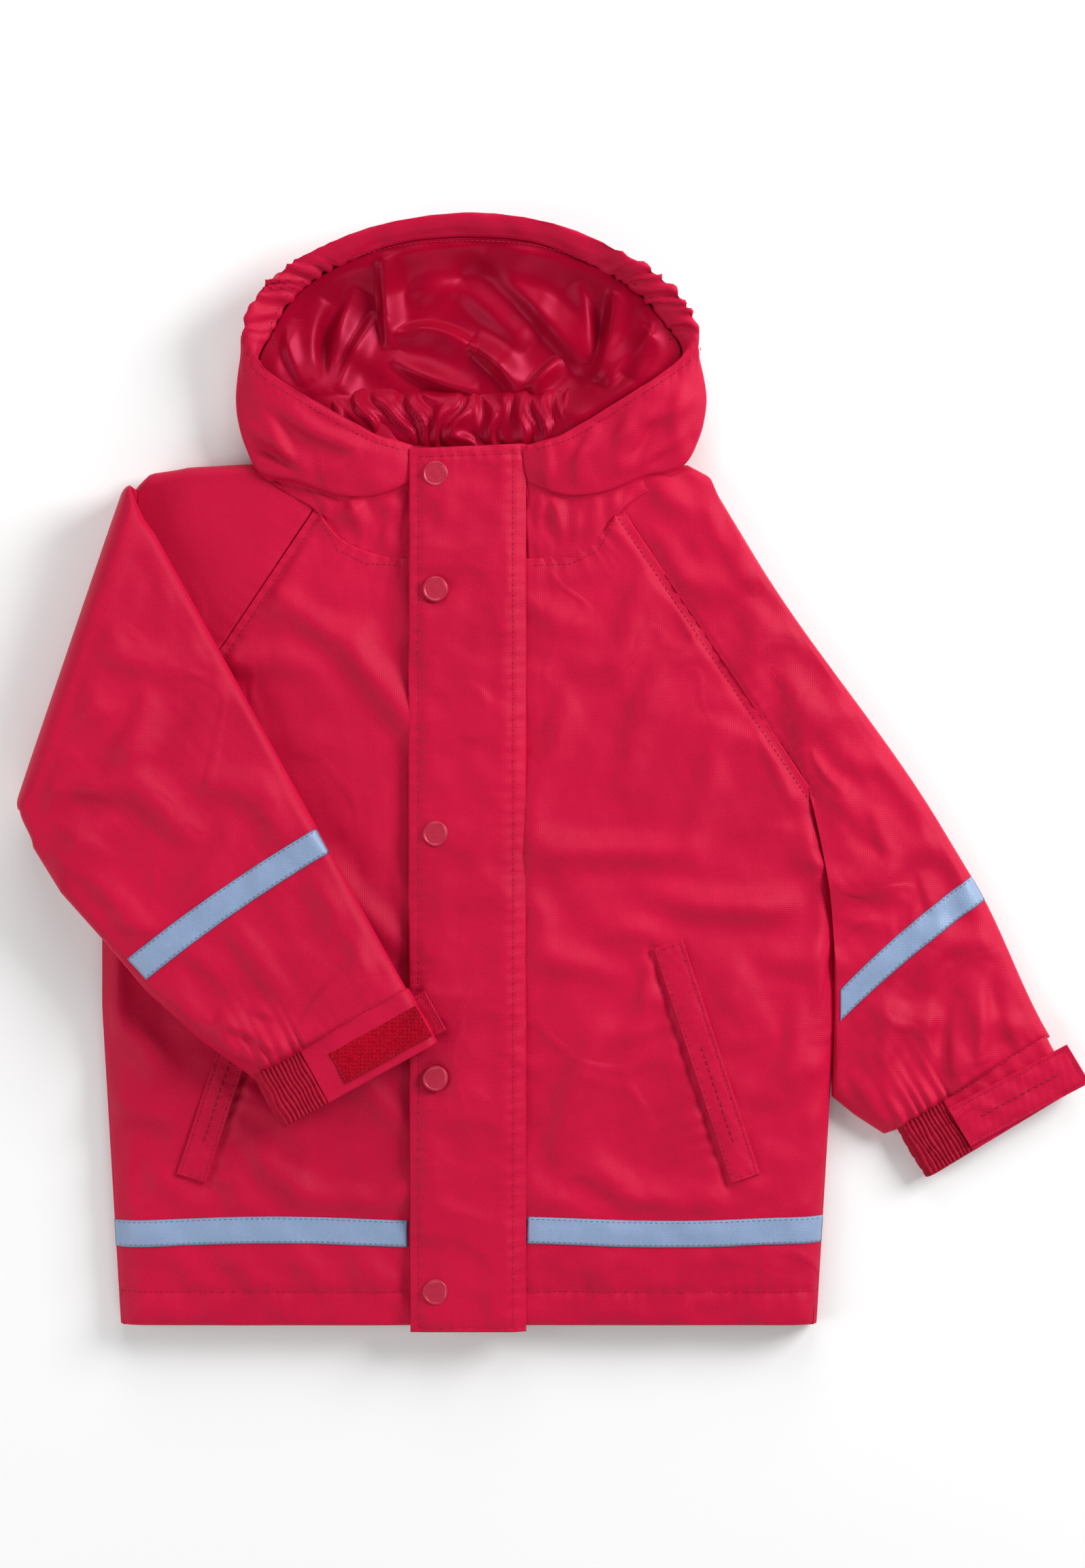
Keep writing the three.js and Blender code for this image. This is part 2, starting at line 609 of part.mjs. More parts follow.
// The tab is sewn to the cuff at its inner end and peels off from its free end.
function tabShape(frame, seam, sewnT, endT, skew) {
  const s = seam + cuffHeight / 2 - tabWidth / 2;
  return outline([
    frame.at(s, sewnT),
    frame.at(s + tabWidth, sewnT),
    frame.at(s + tabWidth + skew, endT + 1),
    frame.at(s + skew, endT - 1),
  ]);
}
const leftTab = new THREE.Group();
leftSleeve.add(leftTab);
const tabSewnT = cuffWidth * bandShare;
const patchOn = (frame, seam) =>
  outline([
    frame.at(seam + patchInset, -1),
    frame.at(seam + patchInset + patchWidth, -1),
    frame.at(seam + patchInset + patchWidth, patchLength),
    frame.at(seam + patchInset, patchLength),
  ]);
const leftPatchLow = leftCuffTop + gap;
const leftPatch = slab(patchOn(left, leftCuffSeam), leftPatchLow, leftPatchLow + patchThick, 0.3);
add("left_loop_patch", leftPatch, materials.loop, leftSleeve);
const leftTabLow = leftPatchLow + patchThick + gap;
const leftTabShape = tabShape(left, leftCuffSeam, tabSewnT, tabSewnT - tabLength, 4);
add("left_cuff_tab", slab(leftTabShape, leftTabLow, leftTabLow + tabThick, 0.3), materials.shell, leftTab);

// Right sleeve, folded over the front. Its lower face lies just above the flap's snap caps.
const rightSleeve = new THREE.Group();
jacket.add(rightSleeve);
const rightTabLow = flapTop + gap + capHeight + gap;
const rightTabTop = rightTabLow + 1;
const rightLow = rightTabTop + gap;
const rightUnder = (inset) => [
  right.at(rightCuffSeam + (inset ? 4 : 0), cuffWidth - inset),
  [...right.at(elbow[0] + 75, elbow[1] - 11 - inset), ...right.at(rightCuffSeam - 40, elbow[1] - 30 - inset)],
  right.at(elbow[0], elbow[1] - inset),
];
const foldPoint = (share, off) => [
  rightFoldTop[0] + share * (rightFoldLow[0] - rightFoldTop[0]) + off,
  rightFoldTop[1] + share * (rightFoldLow[1] - rightFoldTop[1]),
];
const rightCorners = [foldPoint(0, 2), right.at(rightCuffSeam, 0), ...rightUnder(0), foldPoint(1, 2)];
const rightHollow = [
  foldPoint(0.12, -5),
  foldPoint(0.12, 12),
  right.at(rightCuffSeam + 4, seamWidth),
  ...rightUnder(seamWidth),
  foldPoint(0.95, -5),
];
const rightHalves = sleeveHalves(rightCorners, rightHollow, rightLow, foldedLoft);
add("right_sleeve_front", rightHalves.tray, materials.shell, rightSleeve);
add("right_sleeve_back", rightHalves.lid, materials.shell, rightSleeve);
const rightTapeShape = sleeveTape(right, rightTape.s, rightTape.rise, rightTape.ends, rightHalves.top + gap);
add("right_sleeve_tape", rightTapeShape, materials.tape, rightSleeve);
const rightCuff = cuffParts(right, rightCuffSeam, rightLow, rightHalves.top);
add("right_cuff_band", rightCuff.band, materials.shell, rightSleeve);
add("right_cuff_elastic", rightCuff.elastic, materials.elastic, rightSleeve);
const rightTabShape = tabShape(right, rightCuffSeam, tabSewnT, tabSewnT - tabLength, 0);
add("right_cuff_tab", slab(rightTabShape, rightTabLow, rightTabTop, 0.2), materials.shell, rightSleeve);
const patchLow = rightHalves.top + gap;
const rightPatch = slab(patchOn(right, rightCuffSeam), patchLow, patchLow + patchThick, 0.3);
add("right_loop_patch", rightPatch, materials.loop, rightSleeve);

export default jacket;
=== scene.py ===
import json
import math

import bpy
import numpy as np
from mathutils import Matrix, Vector


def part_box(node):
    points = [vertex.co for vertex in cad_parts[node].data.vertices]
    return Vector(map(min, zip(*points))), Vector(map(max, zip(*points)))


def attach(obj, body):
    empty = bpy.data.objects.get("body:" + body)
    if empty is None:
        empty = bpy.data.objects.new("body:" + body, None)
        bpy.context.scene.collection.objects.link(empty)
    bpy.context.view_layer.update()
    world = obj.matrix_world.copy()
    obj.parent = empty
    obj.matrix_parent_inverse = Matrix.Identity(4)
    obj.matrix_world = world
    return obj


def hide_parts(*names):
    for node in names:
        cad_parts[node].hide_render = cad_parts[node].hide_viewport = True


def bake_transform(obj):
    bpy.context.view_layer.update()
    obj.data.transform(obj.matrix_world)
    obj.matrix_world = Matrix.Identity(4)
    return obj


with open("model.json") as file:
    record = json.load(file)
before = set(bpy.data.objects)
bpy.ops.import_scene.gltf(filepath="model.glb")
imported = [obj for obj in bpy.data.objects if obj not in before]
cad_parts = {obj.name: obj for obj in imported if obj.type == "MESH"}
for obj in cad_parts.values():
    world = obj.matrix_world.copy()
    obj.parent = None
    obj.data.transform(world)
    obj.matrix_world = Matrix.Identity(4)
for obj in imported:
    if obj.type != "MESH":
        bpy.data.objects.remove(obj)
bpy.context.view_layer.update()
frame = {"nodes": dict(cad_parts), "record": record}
nodes = frame["nodes"]
mm = 0.001  # every length below is in millimetres until it goes into a mesh
scene = bpy.context.scene
print("frame loaded:", len(nodes), "pieces")

# The camera looks straight down at the jacket, which lies on its back.
view = {"height": 1.9, "lens": 74.2, "x": 43.2, "y": 58.8}
cameraData = bpy.data.cameras.new("camera")
camera = bpy.data.objects.new("camera", cameraData)
scene.collection.objects.link(camera)
camera.location = (view["x"] * mm, view["y"] * mm, view["height"])
cameraData.lens = view["lens"]
cameraData.clip_start = 0.05
scene.camera = camera


def smooth(value, low, high):
    # 3t^2 - 2t^3 with t = (value - low) / (high - low), held between 0 and 1
    t = np.clip((value - low) / (high - low), 0, 1)
    return t * t * (3 - 2 * t)


def cubic(a, b, c, d, f):
    # Catmull-Rom: from b to c as f goes from 0 to 1, leaving b along (c - a) / 2 and reaching c along (d - b) / 2
    return b + 0.5 * f * (c - a + f * (2 * a - 5 * b + 4 * c - d + f * (3 * (b - c) + d - a)))


def through(keys, t):
    # a smooth curve through the keys, at the share t of the way from the first to the last
    keys = np.asarray(keys, float)
    place = np.clip(np.asarray(t, float), 0, 1) * (len(keys) - 1)
    i = np.minimum(place.astype(int), len(keys) - 2)
    f = (place - i)[..., None]
    padded = np.concatenate([2 * keys[:1] - keys[1:2], keys, 2 * keys[-1:] - keys[-2:-1]])
    return cubic(padded[i], padded[i + 1], padded[i + 2], padded[i + 3], f)


def alongLine(points, t):
    # the point at the share t of a broken line's length
    points = np.asarray(points, float)
    length = np.concatenate([[0], np.cumsum(np.linalg.norm(np.diff(points, axis=0), axis=1))])
    return np.stack([np.interp(np.asarray(t) * length[-1], length, c) for c in points.T], -1)


def lineLength(points):
    # the sum of the lengths of a broken line's parts
    return float(np.linalg.norm(np.diff(np.asarray(points, float), axis=0), axis=1).sum())


def cadEdge(name, values, axis, pick):
    # where the outline of a CAD piece crosses each value of x or y (axis 0 or 1): the furthest crossing, by pick
    mesh = nodes[name].data
    co = np.empty(len(mesh.vertices) * 3)
    mesh.vertices.foreach_get("co", co)
    ends = np.empty(len(mesh.edges) * 2, int)
    mesh.edges.foreach_get("vertices", ends)
    co = co.reshape(-1, 3)[:, :2] / mm
    a, b = co[ends[::2]], co[ends[1::2]]
    low, high = co[:, axis].min() + 0.01, co[:, axis].max() - 0.01
    out = []
    for v in np.clip(values, low, high):
        hit = (a[:, axis] - v) * (b[:, axis] - v) < 0
        share = (v - a[hit, axis]) / (b[hit, axis] - a[hit, axis])
        out.append(pick(a[hit, 1 - axis] + share * (b[hit, 1 - axis] - a[hit, 1 - axis])))
    return np.array(out)


def boxOf(name):
    # the low and high corners of a CAD piece, in millimetres
    low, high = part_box(name)
    return np.array(low) / mm, np.array(high) / mm


def stations(length, step, fine=1.6):
    # shares of a length: a few close together at each end, for a rounded rim, and even steps between
    ends = fine * np.array([0, 0.12, 0.38, 0.75, 1.25])
    inner = np.linspace(ends[-1] + step * 0.7, length - ends[-1] - step * 0.7, max(3, int(length / step)))
    return np.concatenate([ends, inner, length - ends[::-1]]) / length


def coons(low, right, high, left, u, v):
    # a patch between four border lines: the blend of opposite borders, less the blend of the corners
    b, t = alongLine(low, u), alongLine(high, u)
    l, r = alongLine(left, v), alongLine(right, v)
    u, v = u[None, :, None], v[:, None, None]
    corners = (1 - u) * (1 - v) * b[0] + u * (1 - v) * b[-1] + (1 - u) * v * t[0] + u * v * t[-1]
    return (1 - v) * b[None] + v * t[None] + (1 - u) * l[:, None] + u * r[:, None] - corners


def edgeDistance(grid):
    # distance along the grid's own lines to its left, right, low and high borders
    across = np.linalg.norm(np.diff(grid, axis=1), axis=2)
    along = np.linalg.norm(np.diff(grid, axis=0), axis=2)
    l = np.concatenate([np.zeros((grid.shape[0], 1)), np.cumsum(across, 1)], 1)
    d = np.concatenate([np.zeros((1, grid.shape[1])), np.cumsum(along, 0)], 0)
    return l, l[:, -1:] - l, d, d[-1:] - d


def roundEdge(distance, radius):
    # the height of a quarter circle: sqrt(1 - (1 - d / r)^2)
    return np.sqrt(np.clip(1 - (1 - np.clip(distance / radius, 0, 1)) ** 2, 0, 1))


def normalsOf(grid):
    # the cross product of the two grid directions at each point
    n = np.cross(np.gradient(grid, axis=1), np.gradient(grid, axis=0))
    return n / np.maximum(np.linalg.norm(n, axis=2, keepdims=True), 1e-9)


def quads(index):
    # one face for each square of neighbours in a grid of point numbers
    return np.stack([index[:-1, :-1], index[:-1, 1:], index[1:, 1:], index[1:, :-1]], -1).reshape(-1, 4)


def ripple(x, y, size, seed, count=9, stretch=(1, 1)):
    # a sum of cosines in random directions, with wavelengths from 0.6 to 1.7 times size
    draw = np.random.default_rng(seed)
    angle, phase = draw.uniform(0, np.pi, count), draw.uniform(0, 2 * np.pi, count)
    wave = 2 * np.pi / (size * draw.uniform(0.6, 1.7, count))
    out = np.zeros_like(x)
    for a, p, w in zip(angle, phase, wave):
        out += np.cos(w * (np.cos(a) * x / stretch[0] + np.sin(a) * y / stretch[1]) + p)
    return out / math.sqrt(count)


def nearLine(x, y, points):
    # signed distance to a broken line, and how far along it the nearest point is
    points = np.asarray(points, float)
    step = np.diff(points, axis=0)
    size = np.linalg.norm(step, axis=1)
    start = np.concatenate([[0], np.cumsum(size)[:-1]])
    best, side, along = np.full(x.shape, 1e9), np.zeros(x.shape), np.zeros(x.shape)
    for p, s, length, s0 in zip(points[:-1], step, size, start):
        dx, dy = x - p[0], y - p[1]
        share = np.clip((dx * s[0] + dy * s[1]) / length**2, 0, 1)
        d = np.hypot(dx - share * s[0], dy - share * s[1])
        near = d < best
        best = np.where(near, d, best)
        side = np.where(near, np.sign(s[0] * dy - s[1] * dx), side)
        along = np.where(near, s0 + share * length, along)
    return best, side, along / size.sum()


def crease(x, y, start, middle, end, width, height, lean=0.0):
    # a fold along a curve: height * exp(-(d / w)^2), fading to its ends, with w wider on one side by lean
    t = np.linspace(0, 1, 13)[:, None]
    curve = (1 - t) ** 2 * np.array(start) + 2 * t * (1 - t) * np.array(middle) + t**2 * np.array(end)
    d, side, along = nearLine(x, y, curve)
    w = width * (1 + lean * np.tanh(side * d / width))
    return height * np.exp(-((d / w) ** 2)) * np.sin(np.pi * np.clip(along, 0.001, 0.999)) ** 0.7


def creases(x, y, rows):
    # the sum of the folds in a list: start, middle, end, width, height and lean
    return sum(crease(x, y, *row) for row in rows)


def puckers(x, y, line, pitch, reach, height, seed):
    # small wrinkles across a seam: height * exp(-d / reach) * cos(2 pi s / pitch + a slow wobble)
    d, side, along = nearLine(x, y, line)
    s = along * lineLength(line)
    wobble = 1.7 * ripple(s, np.zeros_like(s), pitch * 3.5, seed) + 0.5 * side
    return height * np.exp(-d / reach) * np.cos(2 * np.pi * s / pitch + wobble)


def groove(x, y, line, width=1.8, depth=0.7):
    # a sewn line pulls the cloth down: -depth * exp(-(d / width)^2)
    d, _, _ = nearLine(x, y, line)
    return -depth * np.exp(-((d / width) ** 2))


def onSurface(grid, x, y):
    # the surface over each (x, y): the nearest grid point, then a step along its own slope
    rows, cols = grid.shape[:2]
    flat = grid[..., :2].reshape(-1, 2)
    place, normal = np.empty((len(x), 3)), np.empty((len(x), 3))
    for part in np.array_split(np.arange(len(x)), max(1, len(x) // 120)):
        near = ((flat[None] - np.stack([x[part], y[part]], -1)[:, None]) ** 2).sum(-1).argmin(1)
        i, j = np.clip(near // cols, 1, rows - 2), np.clip(near % cols, 1, cols - 2)
        a, b = (grid[i + 1, j] - grid[i - 1, j]) / 2, (grid[i, j + 1] - grid[i, j - 1]) / 2
        det = a[:, 0] * b[:, 1] - a[:, 1] * b[:, 0]
        dx, dy = x[part] - grid[i, j, 0], y[part] - grid[i, j, 1]
        p = np.clip((dx * b[:, 1] - dy * b[:, 0]) / det, -1.5, 1.5)
        q = np.clip((a[:, 0] * dy - a[:, 1] * dx) / det, -1.5, 1.5)
        place[part] = np.stack([x[part], y[part], grid[i, j, 2] + p * a[:, 2] + q * b[:, 2]], -1)
        n = np.cross(b, a)
        n *= np.sign(n[:, 2:]) / np.linalg.norm(n, axis=1, keepdims=True)
        normal[part] = n
    return place, normal


settling = {
    "scale": 10.0,  # the patch is worked out this many times too big
    "cell": 4.6,
    "frames": 40,
    "slack": 0.014,  # share of spare cloth
    "bending": 8.0,
    "tallest": 5.0,  # folds are held under this height
    "base": 0.7,  # cloth lower than this above the bed counts as flat
    "crest": 1.3,  # above 1, low folds get lower and crests stay
    "bed": 1.2,
    "bedReach": 50,
    "start": (0.5, 36, 0.06),  # height, wavelength and noise of the cloth before it falls
}


def settled(x, y, box, lines, seed, slack=None, bending=None, tallest=None, cell=None):
    # heights of loose cloth laid on a bed: a patch with a little spare cloth, held at its border and along the
    # given seams, falls and buckles; its heights are read off between its points by the cubic
    cell, slack = cell or settling["cell"], slack or settling["slack"]
    bending, tallest = bending or settling["bending"], tallest or settling["tallest"]
    x0, x1, y0, y1 = box
    nx, ny = int((x1 - x0) / cell) + 1, int((y1 - y0) / cell) + 1
    gx, gy = np.meshgrid(np.linspace(x0, x1, nx), np.linspace(y0, y1, ny))
    level, wave, noise = settling["start"]
    start = level + level * ripple(gx, gy, wave, seed) + np.random.default_rng(seed).normal(0, noise,
                                                                                            gx.shape)
    held = np.zeros(gx.shape, bool)
    held[[0, -1], :] = held[:, [0, -1]] = True
    for line in lines:
        held |= nearLine(gx, gy, line)[0] < cell * 0.6
    unit = settling["scale"] * mm
    points = np.stack([gx, gy, np.where(held, 0, start)], -1).reshape(-1, 3) * unit
    mesh = bpy.data.meshes.new("patch")
    mesh.from_pydata(points.tolist(), [], quads(np.arange(nx * ny).reshape(ny, nx)).tolist())
    patch = bpy.data.objects.new("patch", mesh)
    scene.collection.objects.link(patch)
    group = patch.vertex_groups.new(name="held")
    group.add(np.flatnonzero(held.ravel()).tolist(), 1.0, "REPLACE")
    bedMesh = bpy.data.meshes.new("bed")
    far = settling["bedReach"]
    corners = [(x0 - far, y0 - far), (x1 + far, y0 - far), (x1 + far, y1 + far), (x0 - far, y1 + far)]
    bedMesh.from_pydata([(a * unit, b * unit, -settling["bed"] * unit) for a, b in corners], [],
                        [(0, 1, 2, 3)])
    bed = bpy.data.objects.new("bed", bedMesh)
    scene.collection.objects.link(bed)
    bed.modifiers.new("Collision", "COLLISION")
    bed.collision.thickness_outer = 0.004
    fabric = patch.modifiers.new("Cloth", "CLOTH")
    cut = fabric.settings
    cut.quality = 5
    cut.mass = 0.25
    cut.tension_stiffness = cut.compression_stiffness = 18
    cut.shear_stiffness = 8
    cut.bending_stiffness = bending
    cut.air_damping = 2
    cut.shrink_min = cut.shrink_max = -slack
    cut.vertex_group_mass = "held"
    fabric.collision_settings.distance_min = 0.004
    fabric.collision_settings.collision_quality = 2
    fabric.point_cache.frame_start, fabric.point_cache.frame_end = 1, settling["frames"]
    for k in range(1, settling["frames"] + 1):
        scene.frame_set(k)
    done = patch.evaluated_get(bpy.context.evaluated_depsgraph_get())
    co = np.empty(nx * ny * 3)
    done.data.vertices.foreach_get("co", co)
    co = co.reshape(ny, nx, 3) / unit
    bpy.data.objects.remove(patch)
    bpy.data.objects.remove(bed)
    scene.frame_set(1)
    z = tallest * np.tanh(np.maximum(co[..., 2] + settling["bed"] - settling["base"], 0) / tallest)
    z = tallest * (z / tallest) ** settling["crest"]
    z[1:-1] = (z[:-2] + 2 * z[1:-1] + z[2:]) / 4
    z[:, 1:-1] = (z[:, :-2] + 2 * z[:, 1:-1] + z[:, 2:]) / 4
    z = np.pad(z, 2, mode="edge")
    i = np.clip((y - y0) / (y1 - y0), 0, 1) * (ny - 1) + 2
    j = np.clip((x - x0) / (x1 - x0), 0, 1) * (nx - 1) + 2
    a, b = i.astype(int), j.astype(int)
    fi, fj = i - a, j - b
    rowsOf = [cubic(*[z[a + m, b + k] for k in (-1, 0, 1, 2)], fj) for m in (-1, 0, 1, 2)]
    print("settled a patch of", nx, "by", ny, "cells, up to", round(float(z.max()), 1), "mm")
    return cubic(*rowsOf, fi)


finish = {
    "shell": (0.53, 0.0022, 0.039),
    "lining": (0.33, 0.0008, 0.018),
    "elastic": (0.42, 0.002, 0.026),
    "loop": (0.56, 0.001, 0.020),
    "tape": (0.24, 0.33, 0.51),
    "thread": (0.33, 0.002, 0.020),
    "snap": (0.50, 0.020, 0.055),
}


def newMaterial(name):
    # a fresh material, its nodes, and its shader
    material = bpy.data.materials.new(name)
    material.use_nodes = True
    return material, material.node_tree, material.node_tree.nodes["Principled BSDF"]


def setInputs(tree, node, inputs):
    # an input takes either a value or another node's output
    for key, value in inputs.items():
        if isinstance(value, bpy.types.NodeSocket):
            tree.links.new(value, node.inputs[key])
        else:
            node.inputs[key].default_value = value


def addNode(tree, kind, inputs, **choices):
    # one shader node with its choices made and its inputs set
    node = tree.nodes.new("ShaderNode" + kind)
    for key, value in choices.items():
        setattr(node, key, value)
    setInputs(tree, node, inputs)
    return node


def addMath(tree, operation, *inputs):
    # one operation on one to three numbers or outputs
    return addNode(tree, "Math", dict(enumerate(inputs)), operation=operation).outputs["Value"]


def crumples(tree, place, height):
    # thin creases where a bent noise crosses its middle value, in patches that a slower noise picks out
    bent, slow = [
        addNode(tree, "TexNoise",
                {"Scale": scale, "Detail": 1.5, "Distortion": bend, "Vector": place}).outputs["Fac"]
        for scale, bend in ((17, 0.35), (6, 0.3))
    ]
    near = addMath(tree, "ABSOLUTE", addMath(tree, "SUBTRACT", bent, 0.5))
    line = addNode(
        tree, "MapRange", {"From Min": 0.06, "From Max": 0.0,
                           "Value": near}, interpolation_type="SMOOTHERSTEP"
    )
    patch = addNode(tree, "MapRange", {"From Min": 0.44, "From Max": 0.62, "Value": slow})
    both = addMath(tree, "MULTIPLY", line.outputs["Result"], patch.outputs["Result"])
    return addNode(tree, "Bump", {"Strength": 0.8, "Distance": height * mm, "Height": both}).outputs["Normal"]


def twoColours(tree, amount, positions, low, high):
    # a ramp from one colour to another over the given stretch of amount
    ramp = addNode(tree, "ValToRGB", {"Fac": amount})
    for stop, position, colour in zip(ramp.color_ramp.elements, positions, (low, high)):
        stop.position = position
        stop.color = (*[min(1, c) for c in colour], 1)
    return ramp.outputs["Color"]


def cloth(
    name, colour, rough, weave=0.55, depth=0.25, mottle=0.16, sheen=0.0, specular=0.5, fuzz=0.0,
    tint=(1, 0.7, 0.78), crumple=0.0,
):
    # woven cloth: two crossed wave patterns for the yarns, a slow mottle in the dye, and fine noise in the gloss
    material, tree, shader = newMaterial(name)
    place = tree.nodes.new("ShaderNodeTexCoord").outputs["Object"]
    yarnScale = 0.314 / (weave * mm) / 2
    waves = [
        addNode(
            tree, "TexWave", {"Scale": yarnScale, "Distortion": 1.2, "Detail": 1, "Vector": place},
            bands_direction=direction,
        ).outputs["Fac"]
        for direction in ("X", "Y")
    ]
    slub = addNode(tree, "TexNoise", {"Scale": 900, "Detail": 4, "Vector": place}).outputs["Fac"]
    height = addMath(tree, "MULTIPLY_ADD", slub, 0.4 + 2.5 * fuzz, addMath(tree, "MAXIMUM", *waves))
    bump = addNode(tree, "Bump", {"Strength": depth, "Distance": 0.0003 + 0.0008 * fuzz, "Height": height})
    if crumple:
        setInputs(tree, bump, {"Normal": crumples(tree, place, crumple)})
    patch = addNode(tree, "TexNoise",
                    {"Scale": 14, "Detail": 5, "Roughness": 0.6, "Vector": place}).outputs["Fac"]
    dye = twoColours(
        tree, patch, (0.3, 0.7), [c * (1 - mottle) for c in colour], [c * (1 + mottle * 0.6) for c in colour]
    )
    fleck = addNode(tree, "MapRange", {"To Min": 0.72, "To Max": 1.28, "Value": slub}).outputs["Result"]
    worn = addNode(tree, "Mix", {}, data_type="RGBA", blend_type="MULTIPLY")
    setInputs(tree, worn, {"Factor": 0.5, "A": dye, "B": fleck})
    shine = addNode(tree, "MapRange", {"To Min": rough - 0.05, "To Max": rough + 0.07, "Value": patch})
    setInputs(tree, shader, {
        "Normal": bump.outputs["Normal"],
        "Base Color": worn.outputs["Result"],
        "Roughness": shine.outputs["Result"],
        "Specular IOR Level": specular,
        "Specular Tint": (*tint, 1),
        "Sheen Weight": sheen,
        "Sheen Roughness": 0.4,
        "Sheen Tint": (1, 0.55, 0.62, 1),
    })
    return material


def gloss(name, colour, rough, metallic=0.0):
    # painted metal or moulded plastic: a fine orange-peel noise in its bump and colour
    material, tree, shader = newMaterial(name)
    place = tree.nodes.new("ShaderNodeTexCoord").outputs["Object"]
    peel = addNode(tree, "TexNoise", {"Scale": 500, "Vector": place}).outputs["Fac"]
    bump = addNode(tree, "Bump", {"Strength": 0.12, "Distance": 0.0002, "Height": peel})
    setInputs(tree, shader, {
        "Normal": bump.outputs["Normal"],
        "Base Color": twoColours(tree, peel, (0, 1), [c * 0.86 for c in colour], [c * 1.1 for c in colour]),
        "Roughness": rough,
        "Metallic": metallic,
    })
    return material


shellCloth = cloth(
    "shell_cloth", finish["shell"], 0.52, depth=0.35, mottle=0.1, sheen=0.02, specular=0.2, crumple=0.6
)
liningSatin = cloth(
    "lining_satin", finish["lining"], 0.36, weave=0.4, depth=0.06, mottle=0.2, specular=0.5, tint=(1, 0.1,
                                                                                                   0.26)
)
elasticCloth = cloth("gathered_cloth", finish["elastic"], 0.6, mottle=0.2, specular=0.2)
loopPile = cloth(
    "loop_pile", finish["loop"], 0.9, weave=1.1, depth=0.9, mottle=0.35, sheen=0.05, specular=0.1, fuzz=1.0
)
reflectiveTape = cloth(
    "reflective_tape", finish["tape"], 0.42, weave=0.8, depth=0.2, mottle=0.07, specular=0.4, tint=(1, 1, 1)
)
zipTape = cloth("zip_weave", finish["elastic"], 0.6, weave=0.9, depth=0.5)
thread = cloth("sewing_thread", finish["thread"], 0.55, weave=0.3, depth=0.4)
tapeThread = cloth("tape_thread", tuple(c * 0.42 for c in finish["tape"]), 0.6, weave=0.3, depth=0.4)
paintedSnap = gloss("painted_snap", finish["snap"], 0.32, 0.15)
zipPlastic = gloss("zip_plastic", finish["elastic"], 0.35)
print("materials ready")


def makePiece(name, points, faces, material, slot, body=None, bend=None, replaces=(), shade=True, turn=False):
    # points in millimetres; it rides on one body, or, given a bend, keeps its place unattached; turn faces a
    # closed one outward
    mesh = bpy.data.meshes.new(name)
    mesh.from_pydata((np.asarray(points) * mm).tolist(), [], faces)
    mesh.polygons.foreach_set("use_smooth", [shade] * len(mesh.polygons))
    if turn and meshVolume(mesh) < 0:
        mesh.flip_normals()
    mesh.update()
    piece = bpy.data.objects.new(name, mesh)
    scene.collection.objects.link(piece)
    mesh.materials.append(material)
    if replaces:
        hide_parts(*replaces)
    if bend:
        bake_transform(piece)
    else:
        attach(piece, body)
    return piece


def meshVolume(mesh):
    # a sixth of the sum of a . (b x c) over the triangles
    mesh.calc_loop_triangles()
    co, tri = np.empty(len(mesh.vertices) * 3), np.empty(len(mesh.loop_triangles) * 3, int)
    mesh.vertices.foreach_get("co", co)
    mesh.loop_triangles.foreach_get("vertices", tri)
    a, b, c = co.reshape(-1, 3)[tri.reshape(-1, 3)].transpose(1, 0, 2)
    return float((a * np.cross(b, c)).sum() / 6)


def closedSheet(top, under, flip=False):
    # two grids with one border: the lower one's border points are the upper one's
    rows, cols = top.shape[:2]
    upper = np.arange(rows * cols).reshape(rows, cols)
    lower = upper.copy()
    lower[1:-1, 1:-1] = rows * cols + np.arange((rows - 2) * (cols - 2)).reshape(rows - 2, cols - 2)
    faces = np.concatenate([quads(upper), quads(lower)[:, ::-1]])
    points = np.concatenate([top.reshape(-1, 3), under[1:-1, 1:-1].reshape(-1, 3)])
    return points, faces[:, ::-1] if flip else faces


def thicken(grid, thick, rim, normal=None, relief=0.0, reliefUnder=0.0):
    # each face lies thick / 2 from the grid along its normal, and the two meet in a rounded rim
    if normal is None:
        normal = np.broadcast_to([0.0, 0.0, 1.0], grid.shape)
    l, r, d, h = edgeDistance(grid)
    rims = np.broadcast_to(rim, 4)
    edge = roundEdge(l, rims[0]) * roundEdge(r, rims[1]) * roundEdge(d, rims[2]) * roundEdge(h, rims[3])
    half = (np.broadcast_to(thick, edge.shape) / 2 * edge)[..., None]
    up, down = np.broadcast_to(relief, edge.shape)[..., None], np.broadcast_to(reliefUnder, edge.shape)[...,
                                                                                                        None]
    return grid + normal * (half + up * edge[..., None]), grid - normal * (half + down * edge[..., None])


def sheetPiece(name, grid, thick, rim, material, slot, relief=0.0, under=0.0, normal=None, soft="laid",
               **ride):
    # a closed piece of cloth from the grid of its middle surface; without given normals its thickness goes
    #     # straight up, so a grid that winds downward is turned over
    top, low = thicken(grid, thick, rim, normal, relief, under)
    points, faces = closedSheet(top, low, flip=normal is None and normalsOf(grid)[..., 2].mean() <= 0)
    piece = makePiece(name, points, faces.tolist(), material, slot, **ride)
    if soft == "padded":
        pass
    else:
        declareSheet(piece)
    return top


def declareSheet(piece):
    # reads the faces' areas and does nothing more with them; the cut's area is a little under half of what a
    # closed mesh shows, folds and rims being extra
    mesh = piece.data
    area = np.empty(len(mesh.polygons))
    mesh.polygons.foreach_get("area", area)


